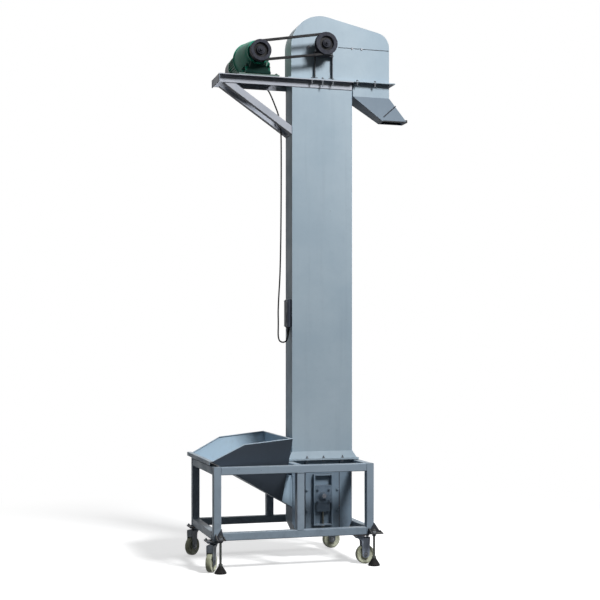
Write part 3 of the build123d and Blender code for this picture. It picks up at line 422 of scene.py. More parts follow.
# A profile of (radius, height) points turned full round the axis
def addTurned(mesh, profile, place, along, steps=40):
    matrix = facing(place, along)
    corners = [mesh.verts.new(matrix @ Vector((radius, 0, height))) for radius, height in profile]
    edges = [mesh.edges.new(pair) for pair in zip(corners, corners[1:])]
    bmesh.ops.spin(
        mesh, geom=corners + edges, cent=matrix.translation, axis=matrix.to_3x3() @ Vector((0, 0, 1)),
        angle=math.tau, steps=steps, use_merge=True,
    )


def mendNormals(mesh):
    bmesh.ops.remove_doubles(mesh, verts=mesh.verts, dist=0.00002)
    bmesh.ops.recalc_face_normals(mesh, faces=mesh.faces)


# Motor cable: the same route as the solid, from the terminal box's gland to the switch box's
cableLook = {"diameter": 0.01, "length": 1.99, "drop": 0.034, "loop": 0.035, "loopZ": 1.4688, "dip": 0.0202}
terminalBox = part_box("terminal_box")
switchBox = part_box("switch_box")
cableStart = Vector((terminalBox[1][0] - 0.015, (terminalBox[0][1] + terminalBox[1][1]) / 2, terminalBox[0][2]))
cableEnd = Vector((casingLeft - 0.012, (switchBox[0][1] + switchBox[1][1]) / 2, switchBox[0][2]))
cableHang = [
    (-0.0930, 0.272, 3.1840), (-0.0815, 0.242, 3.1420), (-0.0700, 0.192, 3.0739), (-0.0615, 0.132, 3.0015),
    (-0.0544, 0.099, 2.9247), (-0.0512, 0.085, 2.8126), (-0.0581, 0.075, 1.9792), (-0.0792, 0.069, 1.6831),
    (-0.0775, 0.065, 1.5800),
]
cableRoute = [cableStart, cableStart - Vector((0, 0, cableLook["drop"]))]
cableRoute += [Vector((casingLeft + x, casingFront + y, z)) for x, y, z in cableHang]
cableRoute += [
    Vector((cableEnd.x - 2 * cableLook["loop"], cableEnd.y, cableLook["loopZ"])),
    Vector((cableEnd.x - cableLook["loop"], cableEnd.y, cableLook["loopZ"] - cableLook["dip"])),
    Vector((cableEnd.x, cableEnd.y, cableLook["loopZ"])),
    cableEnd,
]
cableCurve = bpy.data.curves.new("motorCable", "CURVE")
cableCurve.dimensions = "3D"
cableCurve.bevel_depth = cableLook["diameter"] / 2
cableCurve.bevel_resolution = 5
cableCurve.resolution_u = 14
cableCurve.use_fill_caps = True
cableSpline = cableCurve.splines.new("NURBS")
cableSpline.points.add(len(cableRoute) - 1)
for point, spot in zip(cableSpline.points, cableRoute):
    point.co = (*spot, 1)
cableSpline.order_u = 3
cableSpline.use_endpoint_u = True
motorCable = bpy.data.objects.new("motorCable", cableCurve)
bpy.context.collection.objects.link(motorCable)
cableCurve.materials.append(cableSheath)
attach(motorCable, "frame")
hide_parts("motor_cable")
print("cable laid")

# Details from here on
joints = {joint["name"]: joint for joint in frame["record"]["behaviour"]["joints"]}
castorNames = ("front_left", "front_right", "rear_left", "rear_right")


def middle(node):
    low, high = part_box(node)
    return (Vector(low) + Vector(high)) / 2


# A straight bar between two points, wide along the given side direction
def addBar(mesh, start, end, wide, thick, side):
    start, end = Vector(start), Vector(end)
    along = (end - start).normalized()
    side = Vector(side)
    side = (side - along * side.dot(along)).normalized()
    turn = Matrix((along, side, along.cross(side))).transposed().to_4x4()
    size = Matrix.Diagonal(((end - start).length, wide, thick, 1))
    bmesh.ops.create_cube(mesh, size=1, matrix=Matrix.Translation((start + end) / 2) @ turn @ size)


# A threaded rod, drawn as one ridge for each turn of the thread
def addThread(mesh, place, along, radius, length, pitch=0.002, depth=0.001, steps=18):
    count = int(length / pitch)
    profile = [(0, 0), (radius - depth, 0)]
    for index in range(count):
        profile += [(radius, (index + 0.5) * length / count), (radius - depth, (index + 1) * length / count)]
    addTurned(mesh, profile + [(0, length)], place, along, steps)


def addNut(mesh, place, along, across, height):
    addDisc(mesh, place, along, across / math.sqrt(3), height, 6)


# Weld beads where the frame's tubes meet
seamLook = {"bead": 0.0028, "inset": 0.005, "tube": 0.05}
tube = seamLook["tube"]
frameLow, frameHigh = frameBox[0][2], frameBox[1][2]
seams = bmesh.new()
for z in (frameLow + seamLook["inset"], frameHigh - tube + seamLook["inset"]):
    rise = Vector((0, 0, tube - 2 * seamLook["inset"]))
    for x in (leftX + tube, rightX - tube):
        for y in (frontY, frontY + tube, rearY - tube, rearY):
            addWeld(seams, (x, y, z), Vector((x, y, z)) + rise, seamLook["bead"])
    for x in (leftX, leftX + tube, rightX - tube, rightX):
        for y in (frontY + tube, rearY - tube):
            addWeld(seams, (x, y, z), Vector((x, y, z)) + rise, seamLook["bead"])
for x in (leftX + tube, rightX - tube):
    for y in (frontY, rearY - tube):
        start = Vector((x, y + seamLook["inset"], frameHigh))
        addWeld(seams, start, start + Vector((0, tube - 2 * seamLook["inset"], 0)), seamLook["bead"])
for side, shift in ((frontY, 0), (rearY, 0.02)):
    for z in (frameLow + tube, frameHigh - tube):
        start = Vector((casingLeft - tube - shift + seamLook["inset"], side, z))
        addWeld(seams, start, start + Vector((tube - 2 * seamLook["inset"], 0, 0)), seamLook["bead"])
finishPiece("frameWelds", seams, framePaint, sharp=60)
print("frame welds laid")

# Castors: a pressed fork on a double ball race, an axle with its nuts, and a ribbed nylon wheel
castorShape = {
    "plate": 0.104, "boltGap": 0.04, "plateThick": 0.006, "race": 0.036, "raceTop": 0.1885, "crownTop": 0.1765,
    "crownBack": 0.028, "legStart": 0.008, "legWide": 0.06, "legEnd": 0.024, "outer": 0.025, "sheet": 0.004,
    "bend": 0.009, "web": (0.0645, 0.125, 0.1735), "trail": 0.038, "axle": 0.006, "axleNut": 0.017, "nutHigh": 0.005,
}
wheelSide = [
    (0.0061, 0.018), (0.0160, 0.018), (0.0182, 0.0165), (0.0195, 0.013), (0.0235, 0.0105), (0.0440, 0.0105),
    (0.0475, 0.0125), (0.0485, 0.0155), (0.0505, 0.0170), (0.0560, 0.0173),
]
treadSide = [(0.0555, 0.0174), (0.0590, 0.0170), (0.0614, 0.0145), (0.0625, 0.0095)]


def forkSheet(mesh, place, trailing, axle):
    shape = castorShape
    bmesh.ops.create_grid(mesh, x_segments=56, y_segments=12, size=1)
    wheelHeight = 0.0625
    inner = shape["outer"] - shape["sheet"] / 2
    crown = shape["crownTop"] - shape["sheet"] / 2
    legRun = crown - shape["bend"] - wheelHeight + shape["legEnd"]
    bendRun = shape["bend"] * math.pi / 2
    half = legRun + bendRun + inner - shape["bend"]
    for vert in mesh.verts:
        along, across = vert.co.x * half, vert.co.y
        side = 1 if along >= 0 else -1
        run = abs(along)
        if run < inner - shape["bend"]:
            out, high = run, crown
        elif run < inner - shape["bend"] + bendRun:
            turn = (run - inner + shape["bend"]) / shape["bend"]
            out = inner - shape["bend"] * (1 - math.sin(turn))
            high = crown - shape["bend"] * (1 - math.cos(turn))
        else:
            out, high = inner, crown - shape["bend"] - (run - inner + shape["bend"] - bendRun)
        blend = min(1, max(0, (high - wheelHeight) / (crown - wheelHeight)))
        wide = shape["legEnd"] + (shape["legWide"] / 2 - shape["legEnd"]) * blend
        if high < wheelHeight:
            wide = math.sqrt(max(0, shape["legEnd"] ** 2 - (wheelHeight - high) ** 2))
        low, top = shape["trail"] - wide, shape["trail"] + wide
        rise = min(1, max(0, (high - crown + 0.03) / 0.03))
        low += (-shape["crownBack"] - low) * rise ** 2
        vert.co = place + trailing * (low + (top - low) * (across + 1) / 2) + axle * (out * side)
        vert.co.z = high


for name in castorNames:
    swivel = joints[name + "_swivel"]["pos_m"]
    spin = joints[name + "_wheel_spin"]
    hub = Vector(spin["pos_m"])
    axle = Vector(spin["axis"]).normalized()
    trailing = Vector((hub.x - swivel[0], hub.y - swivel[1], 0)).normalized()
    place = Vector((swivel[0], swivel[1], 0))
    steel = zincSteel if name == "front_right" else forkSteel
    fork = bmesh.new()
    forkSheet(fork, place, trailing, axle)
    webLook = castorShape["web"]
    webMiddle = place + trailing * webLook[0] + Vector((0, 0, (webLook[1] + webLook[2]) / 2))
    half = castorShape["outer"] - 0.004
    addBar(fork, webMiddle - axle * half, webMiddle + axle * half, 0.0008, webLook[2] - webLook[1], trailing)
    mendNormals(fork)
    bmesh.ops.solidify(fork, geom=fork.faces[:], thickness=castorShape["sheet"])
    addTurned(fork, [
        (0, castorShape["raceTop"]), (0.030, castorShape["raceTop"]), (0.036, castorShape["raceTop"] - 0.002),
        (0.036, castorShape["raceTop"] - 0.0045), (0.0335, castorShape["raceTop"] - 0.0060),
        (0.036, castorShape["raceTop"] - 0.0075), (0.0355, castorShape["raceTop"] - 0.0105), (0.031, castorShape["crownTop"]),
        (0, castorShape["crownTop"]),
    ], place, (0, 0, 1))
    addNut(fork, place + Vector((0, 0, castorShape["crownTop"] - 0.013)), (0, 0, 1), 0.019, 0.009)
    mendNormals(fork)
    forkPiece = finishPiece("fork_" + name, fork, steel, "castor_fork_" + name)
    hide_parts("castor_fork_" + name)
    axleMesh = bmesh.new()
    addDisc(axleMesh, hub - axle * castorShape["outer"], axle, castorShape["axle"], 2 * castorShape["outer"], 18)
    for side in (-1, 1):
        face = hub + axle * (side * castorShape["outer"])
        addBolt(axleMesh, face, axle * side, 0.017, castorShape["nutHigh"] - 0.0014, 0.0014)
    finishPiece("axle_" + name, axleMesh, boltSteel, "castor_fork_" + name)
    wheel = bmesh.new()
    ring = [(radius, -out) for radius, out in wheelSide] + [(radius, out) for radius, out in wheelSide[::-1]]
    addTurned(wheel, ring + ring[:1], hub, axle, 48)
    for index in range(6):
        spoke = facing(hub, axle) @ Matrix.Rotation(index * math.tau / 6, 4, "Z") @ Matrix.Translation((0.0335, 0, 0))
        bmesh.ops.create_cube(wheel, size=1, matrix=spoke @ Matrix.Diagonal((0.031, 0.0045, 0.024, 1)))
    mendNormals(wheel)
    wheelPiece = finishPiece("wheel_" + name, wheel, wheelNylon, "castor_wheel_" + name)
    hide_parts("castor_wheel_" + name)
    tread = bmesh.new()
    ring = [(radius, -out) for radius, out in treadSide] + [(radius, out) for radius, out in treadSide[::-1]]
    addTurned(tread, ring + ring[:1], hub, axle, 56)
    mendNormals(tread)
    finishPiece("tread_" + name, tread, treadNylon, "castor_wheel_" + name)
    plateBolts = bmesh.new()
    for dx in (-1, 1):
        for dy in (-1, 1):
            spot = place + Vector((dx * castorShape["boltGap"], dy * castorShape["boltGap"], frameLow))
            addBolt(plateBolts, spot - Vector((0, 0, castorShape["plateThick"])), (0, 0, -1), 0.014, 0.005)
            if spot.x < leftX - 0.012:
                addBolt(plateBolts, spot, (0, 0, 1), 0.014, 0.006, stem=0.004)
    finishPiece("plateBolts_" + name, plateBolts, boltSteel)
print("castors made")

# Jack feet: threaded rods through the brackets, with nuts, and grip rings on each rubber foot
jackShape = {"rod": 0.008, "low": 0.048, "high": 0.236, "plateLow": 0.205, "plateHigh": 0.211, "nut": 0.024}
for side in ("left", "right"):
    rod = middle("jack_screw_" + side)
    rod.z = jackShape["low"]
    screw = bmesh.new()
    addThread(screw, rod, (0, 0, 1), jackShape["rod"], jackShape["high"] - jackShape["low"])
    addNut(screw, rod + Vector((0, 0, 0.001)), (0, 0, 1), jackShape["nut"], 0.011)
    mendNormals(screw)
    screwPiece = finishPiece("jackScrew_" + side, screw, threadSteel, "jack_" + side)
    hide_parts("jack_screw_" + side)
    lockNut = bmesh.new()
    top = rod.copy()
    top.z = jackShape["plateHigh"]
    addDisc(lockNut, top, (0, 0, 1), 0.0145, 0.0018, 24)
    addNut(lockNut, top + Vector((0, 0, 0.0018)), (0, 0, 1), jackShape["nut"], 0.012)
    finishPiece("jackLockNut_" + side, lockNut, boltSteel)
    foot = bmesh.new()
    for radius, height in ((0.0375, 0.0105), (0.0315, 0.0200), (0.0255, 0.0295)):
        addTurned(foot, [
            (radius - 0.004, height - 0.0022), (radius, height - 0.0016), (radius + 0.0006, height),
            (radius - 0.002, height + 0.0018), (radius - 0.005, height + 0.0018), (radius - 0.004, height - 0.0022),
        ], (rod.x, rod.y, 0), (0, 0, 1), 36)
    mendNormals(foot)
    finishPiece("footRings_" + side, foot, footRubber, "jack_" + side)
print("jacks made")

# Hopper: bright folded rims along the top edges, and weld beads
hopperShape = {"rim": 0.011, "sheet": 0.0035, "wide": 0.373, "foldIn": 0.030, "lipZ": 0.697, "bendX": 0.2, "bendZ": 0.8, "topZ": 0.833}
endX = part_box("hopper_end_wall")[0][0]
rims = bmesh.new()
for side in (-1, 1):
    rimY = midY + side * hopperShape["wide"]
    points = [
        (leftX + 0.002, rimY - side * hopperShape["foldIn"], hopperShape["lipZ"]),
        (leftX + hopperShape["bendX"], rimY, hopperShape["bendZ"]),
        (endX, rimY, hopperShape["topZ"]),
    ]
    for start, end in zip(points, points[1:]):
        shift = Vector((0, -side * hopperShape["rim"] / 2, 0))
        addBar(rims, Vector(start) + shift, Vector(end) + shift, hopperShape["rim"], hopperShape["sheet"], (0, 1, 0))
top = hopperShape["topZ"]
addBlock(
    rims, (endX - hopperShape["rim"], midY - hopperShape["wide"], top - hopperShape["sheet"]),
    (endX + 0.003, midY + hopperShape["wide"], top),
)
# The rims take the lighter rim paint: a painted highlight along the hopper's top edges
finishPiece("hopperRims", rims, litRimPaint)
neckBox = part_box("hopper_neck_top")
hopperWelds = bmesh.new()
neckTop = neckBox[1][2]
addWeld(hopperWelds, (casingLeft, neckBox[0][1] + 0.006, neckTop), (casingLeft, neckBox[1][1] - 0.006, neckTop), 0.0028)
for y in (neckBox[0][1], neckBox[1][1]):
    addWeld(hopperWelds, (casingLeft, y, 0.37), (casingLeft, y, neckTop - 0.01), 0.0028)
    addWeld(hopperWelds, (endX, y, 0.41), (endX, y, neckTop - 0.01), 0.0028)
finishPiece("hopperWelds", hopperWelds, hopperPaint, sharp=60)
print("hopper trimmed")

# Boot: bolted cover strips round the take-up guides, front and rear, with painted shade as dark lines along the strips'
# outer edges and under the top strip
bootShape = {"inner": 0.0672, "outer": 0.117, "low": 0.178, "top": 0.655, "guideTop": 0.572, "thick": 0.004, "bolt": 0.106}
tailX = middle("tail_shaft").x
headX = middle("head_shaft").x
bootStrips, bootEdgeShade, bootBolts = bmesh.new(), bmesh.new(), bmesh.new()
for out, face in ((-1, casingFront), (1, casingRear)):
    near, far = sorted((face, face + out * bootShape["thick"]))
    for side in (-1, 1):
        xs = sorted((tailX + side * bootShape["inner"], tailX + side * bootShape["outer"]))
        addBlock(bootStrips, (xs[0], near, bootShape["low"]), (xs[1], far, bootShape["top"]))
        edge = tailX + side * bootShape["outer"]
        lineFar = face + out * 0.0012
        # Dark line along the strip's outer edge: painted shade
        addBlock(
            bootEdgeShade, (min(edge, edge + side * 0.006), min(face, lineFar), bootShape["low"]),
            (max(edge, edge + side * 0.006), max(face, lineFar), bootShape["top"]),
        )
        for z in (0.323, 0.464, 0.600):
            spot = (tailX + side * bootShape["bolt"], face + out * bootShape["thick"], z)
            addBolt(bootBolts, spot, (0, out, 0), 0.014, 0.007)
    addBlock(
        bootStrips, (tailX - bootShape["inner"], near, bootShape["guideTop"]),
        (tailX + bootShape["inner"], far, bootShape["top"]),
    )
    # Dark line under the top strip: painted shade
    addBlock(
        bootEdgeShade, (tailX - bootShape["inner"], min(face, face + out * 0.0046), bootShape["guideTop"] - 0.0022),
        (tailX + bootShape["inner"], max(face, face + out * 0.0046), bootShape["guideTop"]),
    )
finishPiece("bootStrips", bootStrips, bootPaint)
finishPiece("bootEdgeShade", bootEdgeShade, darkPaint)
finishPiece("bootBolts", bootBolts, bootPaint)

# Take-up: adjusting screws with their nuts, bearing rings and a collar on the shaft
takeShape = {
    "bottom": 0.168, "head": 0.010, "top": 0.320, "rod": 0.008, "across": 0.0208, "shaftZ": 0.426,
    "guideLow": 0.228, "nut": 0.006,  # the head stays under this nut at the top of the slide
}
screws, guideNuts, rings, collars = bmesh.new(), bmesh.new(), bmesh.new(), bmesh.new()
for out, face in ((-1, casingFront), (1, casingRear)):
    screwSpot = Vector((tailX, face + out * 0.017, takeShape["bottom"]))
    addNut(screws, screwSpot, (0, 0, 1), takeShape["across"], takeShape["head"])
    addThread(
        screws, screwSpot + Vector((0, 0, takeShape["head"])), (0, 0, 1), takeShape["rod"],
        takeShape["top"] - takeShape["bottom"] - takeShape["head"],
    )
    nutSpot = screwSpot.copy()
    nutSpot.z = takeShape["guideLow"] - takeShape["nut"]
    addNut(guideNuts, nutSpot, (0, 0, 1), 0.026, takeShape["nut"])
    blockFace = face + out * 0.040
    spot = Vector((tailX, blockFace, takeShape["shaftZ"]))
    addTurned(rings, [
        (0.0165, -0.002), (0.0165, 0.0012), (0.0195, 0.0018), (0.0235, 0.0018), (0.0245, 0.0008), (0.0285, 0.0010),
        (0.0295, -0.002),
    ], spot, (0, out, 0), 40)
    for side in (-1, 1):
        addBolt(rings, (tailX + side * 0.040, blockFace, 0.392), (0, out, 0), 0.011, 0.0045)
        addBolt(rings, (tailX + side * 0.040, blockFace, 0.470), (0, out, 0), 0.011, 0.0045)
    addTurned(collars, [
        (0.0148, 0.002), (0.0205, 0.002), (0.0215, 0.003), (0.0215, 0.0095), (0.0205, 0.0105), (0.0148, 0.0105),
    ], spot, (0, out, 0), 32)
for mesh in (screws, rings, collars):
    mendNormals(mesh)
screwPiece = finishPiece("takeupScrews", screws, threadSteel, "takeup")
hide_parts("takeup_screws")
finishPiece("takeupNuts", guideNuts, boltSteel)
finishPiece("takeupRings", rings, bearingIron, "takeup")
finishPiece("tailCollars", collars, bearingIron, "tail_shaft")
print("boot and take-up fitted")

# Bolts through the foot flange and the head flange, front and rear
flangeShape = {"footTop": 0.677, "footLow": 0.660, "headTop": 3.216, "angleLow": 3.204, "boxLow": 3.210}
footBolts, headBolts = bmesh.new(), bmesh.new()
for out, face in ((-1, casingFront), (1, casingRear)):
    for x in (0.099, 0.214, 0.348):
        addBolt(footBolts, (casingLeft + x, face + out * 0.0195, flangeShape["footTop"]), (0, 0, 1), 0.012, 0.007, stem=0.007)
        addBolt(footBolts, (casingLeft + x, face + out * 0.0125, flangeShape["footLow"]), (0, 0, -1), 0.012, 0.006)
    for x, stem in ((0.130, 0.014), (0.204, 0.030), (0.275, 0.016), (0.448, 0.012), (0.575, 0.014)):
        under = flangeShape["angleLow"] if casingLeft + x < casingRight else flangeShape["boxLow"]
        addBolt(headBolts, (casingLeft + x, face + out * 0.030, flangeShape["headTop"]), (0, 0, 1), 0.013, 0.007)
        addBolt(headBolts, (casingLeft + x, face + out * 0.030, under), (0, 0, -1), 0.013, 0.008, stem=stem)
finishPiece("footFlangeBolts", footBolts, boltSteel)
finishPiece("headFlangeBolts", headBolts, boltSteel)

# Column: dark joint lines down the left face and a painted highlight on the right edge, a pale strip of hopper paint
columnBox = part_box("column_side_panels")
columnLines = bmesh.new()
for y in (casingFront + 0.003, casingRear - 0.003):
    addBlock(columnLines, (casingLeft - 0.0008, y - 0.0012, columnBox[0][2]), (casingLeft, y + 0.0012, columnBox[1][2]))
finishPiece("columnLines", columnLines, darkPaint)
columnEdgeHighlight = bmesh.new()
addBlock(
    columnEdgeHighlight, (casingRight - 0.0025, casingFront - 0.0008, columnBox[0][2] + 0.045),
    (casingRight + 0.0008, casingFront + 0.002, columnBox[1][2]),
)
finishPiece("columnEdgeHighlight", columnEdgeHighlight, hopperPaint)
print("flanges bolted")

# Hood: painted shade along the lap joint across the front and rear, as a thin dark strip, its clips, a latch and a plug
hoodShape = {"seamLeft": 0.322, "seamRight": 0.688, "seamZ": 3.445, "high": 0.0035, "proud": 0.0016, "clip": 0.012}
hoodLapShade, hoodClips = bmesh.new(), bmesh.new()
for out, face in ((-1, casingFront), (1, casingRear)):
    far = face + out * hoodShape["proud"]
    addBlock(
        hoodLapShade, (casingLeft + hoodShape["seamLeft"], min(face, far), hoodShape["seamZ"] - hoodShape["high"]),
        (casingLeft + hoodShape["seamRight"] - 0.002, max(face, far), hoodShape["seamZ"]),
    )
    for x in (0.416, 0.484):
        low = min(face, face + out * 0.004)
        addBlock(
            hoodClips, (casingLeft + x, low, hoodShape["seamZ"] - 0.010),
            (casingLeft + x + hoodShape["clip"], low + 0.004, hoodShape["seamZ"] + 0.004),
        )
    addBolt(hoodClips, (casingLeft + 0.115, face, 3.431), (0, out, 0), 0.013, 0.006)
finishPiece("hoodLapShade", hoodLapShade, darkPaint)
finishPiece("hoodClips", hoodClips, boltSteel)

# Bearings and pedestals: seat bolts, faced rings, locking collars with set screws, grease nipples
bearingShape = {"axisZ": 3.437, "seatTop": 3.395, "gap": 0.0515, "reach": 0.040, "boltIn": 0.022, "radius": 0.052}
bearingBolts, bearingRings, lockCollars = bmesh.new(), bmesh.new(), bmesh.new()
for out, face in ((-1, casingFront), (1, casingRear)):
    outer = face + out * bearingShape["reach"]
    centre = Vector((headX, outer, bearingShape["axisZ"]))
    for side in (-1, 1):
        spot = (headX + side * bearingShape["gap"], face + out * bearingShape["boltIn"], bearingShape["seatTop"])
        addBolt(bearingBolts, spot, (0, 0, 1), 0.016, 0.009, 0.002, stem=0.008)
        foot = (headX + side * 0.045, face + out * 0.024, flangeShape["headTop"])
        addBolt(bearingBolts, foot, (0, 0, 1), 0.013, 0.007)
    addTurned(bearingRings, [
        (0.0255, -0.002), (0.0260, 0.0014), (0.0330, 0.0020), (0.0345, 0.0004), (0.0400, 0.0006), (0.0415, 0.0034),
        (0.0480, 0.0030), (0.0505, -0.002),
    ], centre, (0, out, 0), 48)
    addDisc(bearingRings, centre + Vector((0, -out * 0.018, 0.0505)), (0, 0, 1), 0.0045, 0.005, 6)
    addDisc(bearingRings, centre + Vector((0, -out * 0.018, 0.0555)), (0, 0, 1), 0.0024, 0.007, 12, 0.003)
    addTurned(lockCollars, [
        (0.0148, 0.002), (0.0225, 0.002), (0.0240, 0.0035), (0.0240, 0.0105), (0.0225, 0.012), (0.0148, 0.012),
    ], centre, (0, out, 0), 36)
    addDisc(lockCollars, centre + Vector((0, out * 0.007, 0.0235)), (0, 0, 1), 0.003, 0.002, 6)
for mesh in (bearingRings, lockCollars):
    mendNormals(mesh)
finishPiece("bearingBolts", bearingBolts, boltSteel)
finishPiece("bearingRings", bearingRings, castIron)
finishPiece("lockCollars", lockCollars, castIron, "head_shaft")
print("head fitted")

# Pulleys: dished discs with a V groove, round rims, a keyed hub and a dark end bolt on the shaft
pulleyShape = {"half": 0.020, "hub": 0.028, "recess": 0.048, "web": 0.005, "mouth": 0.012, "root": 0.0115, "groove": 0.016, "soft": 0.0018}
pulleyY = middle("head_pulley").y
driveX, driveZ = middle("drive_belt").x, middle("fan_cowl").z
driveX = middle("fan_cowl").x
for name, x, z, radius, body in (
    ("head_pulley", headX, bearingShape["axisZ"], 0.075, "head_shaft"),
    ("drive_pulley", driveX, driveZ, 0.070, "drive_pulley"),
):
    shape = pulleyShape
    soft = shape["soft"]
    half = [
        (0.0150, -shape["half"] + 0.001), (0.0165, -shape["half"]), (shape["hub"] - soft, -shape["half"]),
        (shape["hub"], -shape["half"] + soft), (shape["hub"] + 0.001, -shape["web"] - soft),
        (shape["hub"] + 0.003, -shape["web"]), (shape["recess"] - 0.003, -shape["web"]),
        (shape["recess"] - 0.0008, -shape["web"] - soft), (shape["recess"], -shape["half"] + soft),
        (shape["recess"] + soft, -shape["half"]), (radius - soft, -shape["half"]), (radius, -shape["half"] + soft),
        (radius, -shape["mouth"] - 0.0012), (radius - 0.0012, -shape["mouth"]), (radius - shape["groove"], -shape["root"]),
    ]
    disc = bmesh.new()
    ring = half + [(r, -h) for r, h in half[::-1]]
    addTurned(disc, ring + ring[:1], (x, pulleyY, z), (0, 1, 0), 72)
    if name == "drive_pulley":
        addDisc(disc, (x, pulleyY - 0.0195, z), (0, 1, 0), 0.0150, 0.0875, 32)
    mendNormals(disc)
    pulleyPiece = finishPiece(name.replace("_", "") + "Disc", disc, pulleyIron, body)
    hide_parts(name)
    ends = bmesh.new()
    end = Vector((x, pulleyY - 0.022, z))
    addDisc(ends, end, (0, -1, 0), 0.0195, 0.0035, 28, 0.0185)
    addBolt(ends, end - Vector((0, 0.0035, 0)), (0, -1, 0), 0.016, 0.008, 0.002)
    addBlock(ends, (x - 0.004, pulleyY - 0.0215, z + 0.014), (x + 0.004, pulleyY - 0.0195, z + 0.0185))
    finishPiece(name.replace("_", "") + "End", ends, pulleyIron, body)
    # A thin black lining in the pulley's recess: painted shade in the dish
    recessShade = bmesh.new()
    addTurned(recessShade, [
        (0.0285, -shape["web"]), (0.0285, -shape["web"] - 0.0012), (0.0474, -shape["web"] - 0.0012), (0.0474, -0.0175),
        (0.0479, -0.0175), (0.0479, -shape["web"]), (0.0285, -shape["web"]),
    ], (x, pulleyY, z), (0, 1, 0), 48)
    mendNormals(recessShade)
    finishPiece(name.replace("_", "") + "RecessShade", recessShade, beltRubber, body)
print("pulleys made")

# Gearmotor: a smooth cast bell on a foot, cover bolts, the box lid and the cowl's vents
motorShape = {"coverY": -0.149, "coneRear": -0.007, "baseTop": 3.224, "footFront": -0.133, "footRear": 0.017, "ringY": 0.053}
bell = bmesh.new()
bellSide = [
    (0, -0.149), (0.074, -0.149), (0.078, -0.146), (0.0790, -0.132), (0.0800, -0.127), (0.0840, -0.118),
    (0.0880, -0.098), (0.0935, -0.070), (0.0985, -0.040), (0.1025, -0.010), (0.1060, 0.020), (0.1090, 0.055),
    (0.1110, 0.084), (0.1120, 0.094), (0.1135, 0.0985), (0.1165, 0.0995), (0.1180, 0.101), (0.1180, 0.1115),
    (0.1165, 0.113), (0.1040, 0.113), (0.1040, 0.129), (0, 0.129),
]
addTurned(bell, bellSide, (driveX, 0, driveZ), (0, 1, 0), 72)
mendNormals(bell)
bellPiece = finishPiece("gearboxBell", bell, greenPaint)
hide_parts("gearbox")
foot = bmesh.new()
footSide = [
    (-0.085, 3.224), (0.085, 3.224), (0.085, 3.238), (0.083, 3.241), (0.0565, 3.268), (0.052, 3.290), (0.052, 3.322),
    (-0.052, 3.322), (-0.052, 3.290), (-0.0565, 3.268), (-0.083, 3.241), (-0.085, 3.238),
]
corners = [foot.verts.new((driveX + x, motorShape["footFront"], z)) for x, z in footSide]
face = foot.faces.new(corners)
far = bmesh.ops.extrude_face_region(foot, geom=[face])["geom"]
shift = Vector((0, motorShape["footRear"] - motorShape["footFront"], 0))
bmesh.ops.translate(foot, vec=shift, verts=[item for item in far if isinstance(item, bmesh.types.BMVert)])
mendNormals(foot)
bmesh.ops.bevel(foot, geom=foot.edges[:], offset=0.003, segments=2, profile=0.5, affect="EDGES", material=-1)
# The foot in the dark green: painted shade under the pulley
finishPiece("gearboxFoot", foot, shadedGreen)
coverBolts, motorExtras = bmesh.new(), bmesh.new()
for index in range(8):
    turn = math.radians(22.5 + index * 45)
    spot = (driveX + 0.066 * math.cos(turn), motorShape["coverY"], driveZ + 0.066 * math.sin(turn))
    addBolt(coverBolts, spot, (0, -1, 0), 0.011, 0.005)
for side in (-1, 1):
    for y in (motorShape["footFront"] + 0.022, motorShape["footRear"] - 0.022):
        spot = Vector((driveX + side * 0.072, y, motorShape["baseTop"] + 0.010))
        addDisc(motorExtras, spot, (0, 0, 1), 0.0145, 0.036, 28, 0.0130)
        addBolt(coverBolts, spot + Vector((0, 0, 0.036)), (0, 0, 1), 0.017, 0.009, 0.0022, stem=0.006)
    for y in (-0.106, 0.074):
        addBolt(coverBolts, (driveX + 0.009 + side * 0.120, y, motorShape["baseTop"]), (0, 0, 1), 0.015, 0.008, 0.002)
addTurned(motorExtras, [
    (0, -0.004), (0.034, -0.004), (0.036, -0.001), (0.036, 0.004), (0.033, 0.006), (0.030, 0.006), (0.029, 0.003),
    (0.024, 0.003), (0.0155, 0.004),
], (driveX, motorShape["coverY"], driveZ), (0, -1, 0), 44)
boxLow, boxHigh = terminalBox
lid = (boxHigh[0], boxLow[1] + 0.004, boxHigh[2] - 0.096, boxHigh[1] - 0.004, boxHigh[2] - 0.004)
lidBlock = addBlock(motorExtras, (lid[0], lid[1], lid[2]), (lid[0] + 0.0055, lid[3], lid[4]))
for y in (lid[1] + 0.009, lid[3] - 0.009):
    for z in (lid[2] + 0.009, lid[4] - 0.009):
        addDisc(coverBolts, (lid[0] + 0.0055, y, z), (1, 0, 0), 0.004, 0.0024, 14, 0.0032)
for mesh in (coverBolts, motorExtras):
    mendNormals(mesh)
finishPiece("gearmotorBolts", coverBolts, shadedGreen)
finishPiece("gearmotorExtras", motorExtras, greenPaint)
cowlShape = {"front": 0.357, "rear": 0.456, "radius": 0.093, "rows": 6, "around": 40, "hole": 0.0027}
cowlBands, cowlHighlightSpecks = bmesh.new(), bmesh.new()
for y in (cowlShape["front"], cowlShape["rear"] - 0.006):
    addTurned(cowlBands, [
        (cowlShape["radius"] - 0.002, 0), (cowlShape["radius"] + 0.0012, 0.0004), (cowlShape["radius"] + 0.0012, 0.0076),
        (cowlShape["radius"] - 0.002, 0.008),
    ], (driveX, y, driveZ), (0, 1, 0), 64)
for radius in (0.018, 0.032, 0.046, 0.060, 0.074):
    addTurned(cowlBands, [
        (radius - 0.003, -0.003), (radius - 0.0026, 0.0012), (radius + 0.0026, 0.0012), (radius + 0.003, -0.003),
    ], (driveX, 0.473, driveZ), (0, 1, 0), 48)
